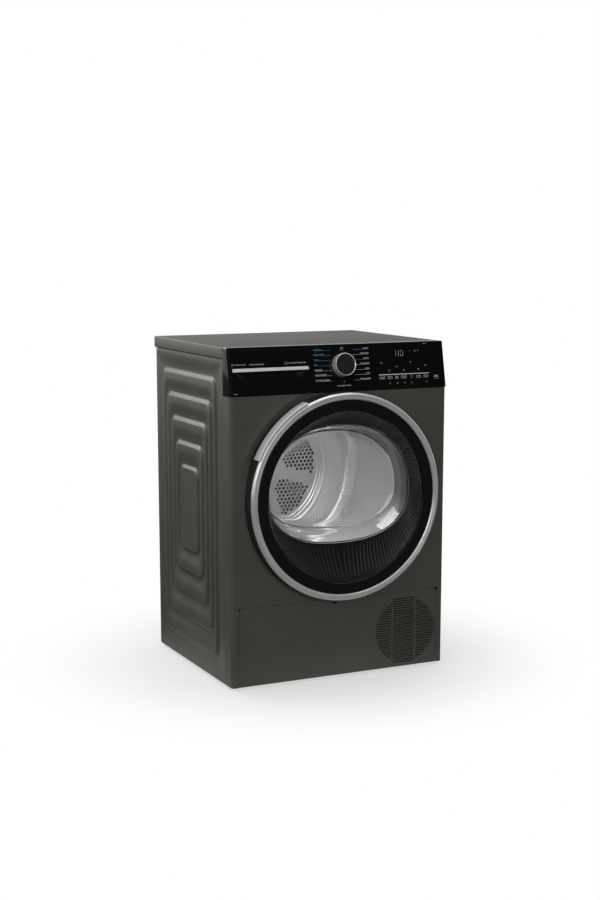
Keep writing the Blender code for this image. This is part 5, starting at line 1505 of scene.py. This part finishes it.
class DRYER_OT_inner_pieces(bpy.types.Operator):
    """Finish the pieces that keep the frame's own shape"""
    bl_idname = "dryer.inner_pieces"
    bl_label = "Inner pieces"

    def execute(self, context):
        kinds = {
            moulded_black: ("base_tray power_inlet foot_front_left foot_rear_left "
                            "foot_front_right foot_rear_right selector_shaft tank_runner "
                            "door_lock lint_filter compressor heat_pump_filter idler_roller "
                            "kick_latch"),
            grey_moulding: ("door_inner_frame front_bulkhead blower_wheel blower_housing"),
            white_moulding: "water_tank",
            black_rubber: "door_seal support_roller_left support_roller_right drum_belt",
            plated_steel: ("door_hook hinge_leaf hinge_pin hinge_bracket drum_shaft "
                           "drive_motor motor_shaft motor_pulley idler_arm"),
            bare_aluminium: "drum_bearing evaporator condenser",
            grey_felt: "drum_front_seal",
            green_board: "control_board",
        }
        for finish, names in kinds.items():
            for name in names.split():
                mesh = frame["nodes"][name].data
                mesh.materials.clear()
                mesh.materials.append(finish())
        return {'FINISHED'}


# --------------------------------------------------------------- the stage

class DRYER_OT_stage(bpy.types.Operator):
    """Set the floor, the lamps and the camera"""
    bl_idname = "dryer.stage"
    bl_label = "Stage"
    lamps = (
        ("left_key", (-3.4, -1.0, 2.0), (0.0, 0.0, 0.7), 0.9, 2.0, 11.0),
        ("left_back", (-2.2, 3.0, 1.6), (0.0, 0.1, 0.7), 0.8, 1.6, 36.0),
        ("front_fill", (-0.4, -4.2, 1.3), (0.0, -0.3, 0.35), 1.8, 1.2, 60.0),
        ("back_rim", (-0.8, 4.0, 2.5), (0.0, 0.0, 0.5), 1.4, 1.0, 30.0),
        ("overhead", (0.2, 0.6, 3.4), (0.0, 0.0, 0.4), 2.6, 2.0, 14.0),
    )

    def execute(self, context):
        scene = context.scene
        settings = scene.dryer_stage
        self.floor(settings)
        self.light(scene)
        self.camera(scene, settings)
        return {'FINISHED'}

    def floor(self, settings):
        """A wide disc of concentric rings a hair below the feet."""
        turn = np.arange(64) * TAU / 64
        radius = np.array([0.05, 0.5, 1.0, 2.0, 4.0, 9.0])[:, None]
        points = np.stack(np.broadcast_arrays(radius * np.cos(turn), radius * np.sin(turn), 0.0),
                          -1)
        faces = quads(6, 64, False, True).tolist() + [list(range(64))]
        obj = store("studio_floor", points, faces)
        for polygon in obj.data.polygons:
            if polygon.normal.z < 0.0:
                obj.data.flip_normals()
                break
        finish = surface("pale_floor", tuple(settings.floor), (0.75, 0.85), tone=0.01,
                         values={"Scale": 60.0}, bump=0.00001)
        self.fade(finish.node_tree)
        obj.data.materials.append(finish)

    def fade(self, tree):
        """Far from the machine the floor turns plain white to the camera and dark to
        reflections, as the black card round a studio table does."""
        shader = tree.nodes["Principled BSDF"]
        out = tree.nodes["Material Output"]
        place = add(tree, 'ShaderNodeTexCoord')
        reach = add(tree, 'ShaderNodeVectorMath', operation='LENGTH')
        tree.links.new(place.outputs["Object"], reach.inputs[0])
        far = add(tree, 'ShaderNodeMapRange', {"From Min": 0.28, "From Max": 0.80,
                                               "To Min": 0.55},
                  interpolation_type='SMOOTHSTEP')
        dark = add(tree, 'ShaderNodeMapRange', {"From Min": 0.26, "From Max": 0.52})
        for node in (far, dark):
            tree.links.new(reach.outputs["Value"], node.inputs["Value"])
        rays = add(tree, 'ShaderNodeLightPath')
        straight = rays.outputs["Is Camera Ray"]
        white = add(tree, 'ShaderNodeEmission')
        black = add(tree, 'ShaderNodeEmission', {"Color": (0.06, 0.06, 0.06, 1.0)})
        seen = add(tree, 'ShaderNodeMixShader')
        tree.links.new(far.outputs["Result"], seen.inputs["Fac"])
        tree.links.new(shader.outputs["BSDF"], seen.inputs[1])
        tree.links.new(white.outputs["Emission"], seen.inputs[2])
        mirrored = add(tree, 'ShaderNodeMixShader')
        tree.links.new(dark.outputs["Result"], mirrored.inputs["Fac"])
        tree.links.new(shader.outputs["BSDF"], mirrored.inputs[1])
        tree.links.new(black.outputs["Emission"], mirrored.inputs[2])
        final = add(tree, 'ShaderNodeMixShader')
        tree.links.new(straight, final.inputs["Fac"])
        tree.links.new(mirrored.outputs["Shader"], final.inputs[1])
        tree.links.new(seen.outputs["Shader"], final.inputs[2])
        tree.links.new(final.outputs["Shader"], out.inputs["Surface"])

    def light(self, scene):
        """White behind everything; for light, a sky that is bright all round except where
        the front faces mirror it towards the camera; and the lamps."""
        world = bpy.data.worlds.new("studio")
        scene.world = world
        world.use_nodes = True
        tree = world.node_tree
        back = tree.nodes["Background"]
        back.inputs["Strength"].default_value = 1.0
        seen = add(tree, 'ShaderNodeLightPath')
        way = add(tree, 'ShaderNodeTexCoord')
        facing = add(tree, 'ShaderNodeVectorMath', operation='DOT_PRODUCT')
        facing.inputs[1].default_value = (0.42, -0.89, 0.16)
        tree.links.new(way.outputs["Generated"], facing.inputs[0])
        rise = add(tree, 'ShaderNodeMapRange', {"From Min": 0.50, "From Max": 0.86,
                                                "To Min": 0.52, "To Max": 0.010},
                   interpolation_type='SMOOTHSTEP')
        tree.links.new(facing.outputs["Value"], rise.inputs["Value"])
        mix = add(tree, 'ShaderNodeMix', data_type='RGBA')
        mix.inputs["B"].default_value = (1.0, 1.0, 1.0, 1.0)
        tree.links.new(seen.outputs["Is Camera Ray"], mix.inputs["Factor"])
        tree.links.new(rise.outputs["Result"], mix.inputs["A"])
        tree.links.new(mix.outputs["Result"], back.inputs["Color"])
        for name, place, aim, wide, tall, power in self.lamps:
            data = bpy.data.lights.new(name, 'AREA')
            data.shape = 'RECTANGLE'
            data.size = wide
            data.size_y = tall
            data.energy = power
            lamp = self.hang(scene, data, place, aim)
            lamp.visible_glossy = name != "front_fill"
        data = bpy.data.lights.new("drum_glow", 'AREA')
        data.shape = 'DISK'
        data.size = 0.26
        data.energy = 1.15
        place = (0.02, FRONT_Y + DRUM_FRONT + 0.17, DRUM_HEIGHT + 0.235)
        lamp = self.hang(scene, data, place, (0.0, FRONT_Y + 0.30, 0.10))
        lamp.visible_camera = False
        scene.view_settings.view_transform = 'Standard'

    def hang(self, scene, data, place, aim):
        """Put a lamp at a place, turned towards its aim."""
        lamp = bpy.data.objects.new(data.name, data)
        lamp.location = place
        lamp.rotation_euler = self.facing(place, aim)
        scene.collection.objects.link(lamp)
        return lamp

    def facing(self, place, aim):
        """Rotation that turns a lamp or camera at a place towards an aim."""
        way = Vector(aim) - Vector(place)
        return way.to_track_quat('-Z', 'Y').to_euler()

    def camera(self, scene, settings):
        """A long lens from the front left, a little above the machine."""
        data = bpy.data.cameras.new("view")
        data.lens = settings.lens
        data.sensor_width = 36.0
        data.shift_y = settings.shift
        data.clip_end = 60.0
        camera = bpy.data.objects.new("view", data)
        camera.location = settings.camera_place
        camera.rotation_euler = self.facing(settings.camera_place, settings.camera_aim)
        scene.collection.objects.link(camera)
        scene.camera = camera


# ------------------------------------------------------------ registration

STEPS = (DRYER_OT_worktop, DRYER_OT_side_panels, DRYER_OT_front_panel, DRYER_OT_kick_plate,
         DRYER_OT_back, DRYER_OT_fascia, DRYER_OT_selector, DRYER_OT_tank_drawer,
         DRYER_OT_door_ring, DRYER_OT_door_funnel, DRYER_OT_door_window, DRYER_OT_drum,
         DRYER_OT_inner_pieces, DRYER_OT_stage)


class DRYER_PT_sidebar(bpy.types.Panel):
    """Lists the building steps and their settings"""
    bl_idname = "DRYER_PT_sidebar"
    bl_label = "Clothes dryer"
    bl_space_type = 'VIEW_3D'
    bl_region_type = 'UI'
    bl_category = "Dryer"

    def draw(self, context):
        for settings in SETTINGS:
            group = getattr(context.scene, settings)
            box = self.layout.box()
            for label in group.bl_rna.properties.keys():
                if label not in ("rna_type", "name"):
                    box.prop(group, label)
        for step in STEPS:
            self.layout.operator(step.bl_idname)


SETTINGS = {
    "dryer_cabinet": DryerCabinetSettings,
    "dryer_panel": DryerPanelSettings,
    "dryer_door": DryerDoorSettings,
    "dryer_drum": DryerDrumSettings,
    "dryer_stage": DryerStageSettings,
}


def register():
    """Register the settings, the steps and the panel."""
    for label, kind in SETTINGS.items():
        bpy.utils.register_class(kind)
        setattr(bpy.types.Scene, label, bpy.props.PointerProperty(type=kind))
    for step in STEPS:
        bpy.utils.register_class(step)
    bpy.utils.register_class(DRYER_PT_sidebar)


def unregister():
    """Take everything back out again."""
    bpy.utils.unregister_class(DRYER_PT_sidebar)
    for step in reversed(STEPS):
        bpy.utils.unregister_class(step)
    for label, kind in SETTINGS.items():
        delattr(bpy.types.Scene, label)
        bpy.utils.unregister_class(kind)


def main():
    """Build every piece in order."""
    register()
    bpy.ops.dryer.worktop()
    bpy.ops.dryer.side_panels()
    bpy.ops.dryer.front_panel()
    bpy.ops.dryer.kick_plate()
    bpy.ops.dryer.back()
    bpy.ops.dryer.fascia()
    bpy.ops.dryer.selector()
    bpy.ops.dryer.tank_drawer()
    bpy.ops.dryer.door_ring()
    bpy.ops.dryer.door_funnel()
    bpy.ops.dryer.door_window()
    bpy.ops.dryer.drum()
    bpy.ops.dryer.inner_pieces()
    bpy.ops.dryer.stage()


if __name__ == "__main__":
    main()
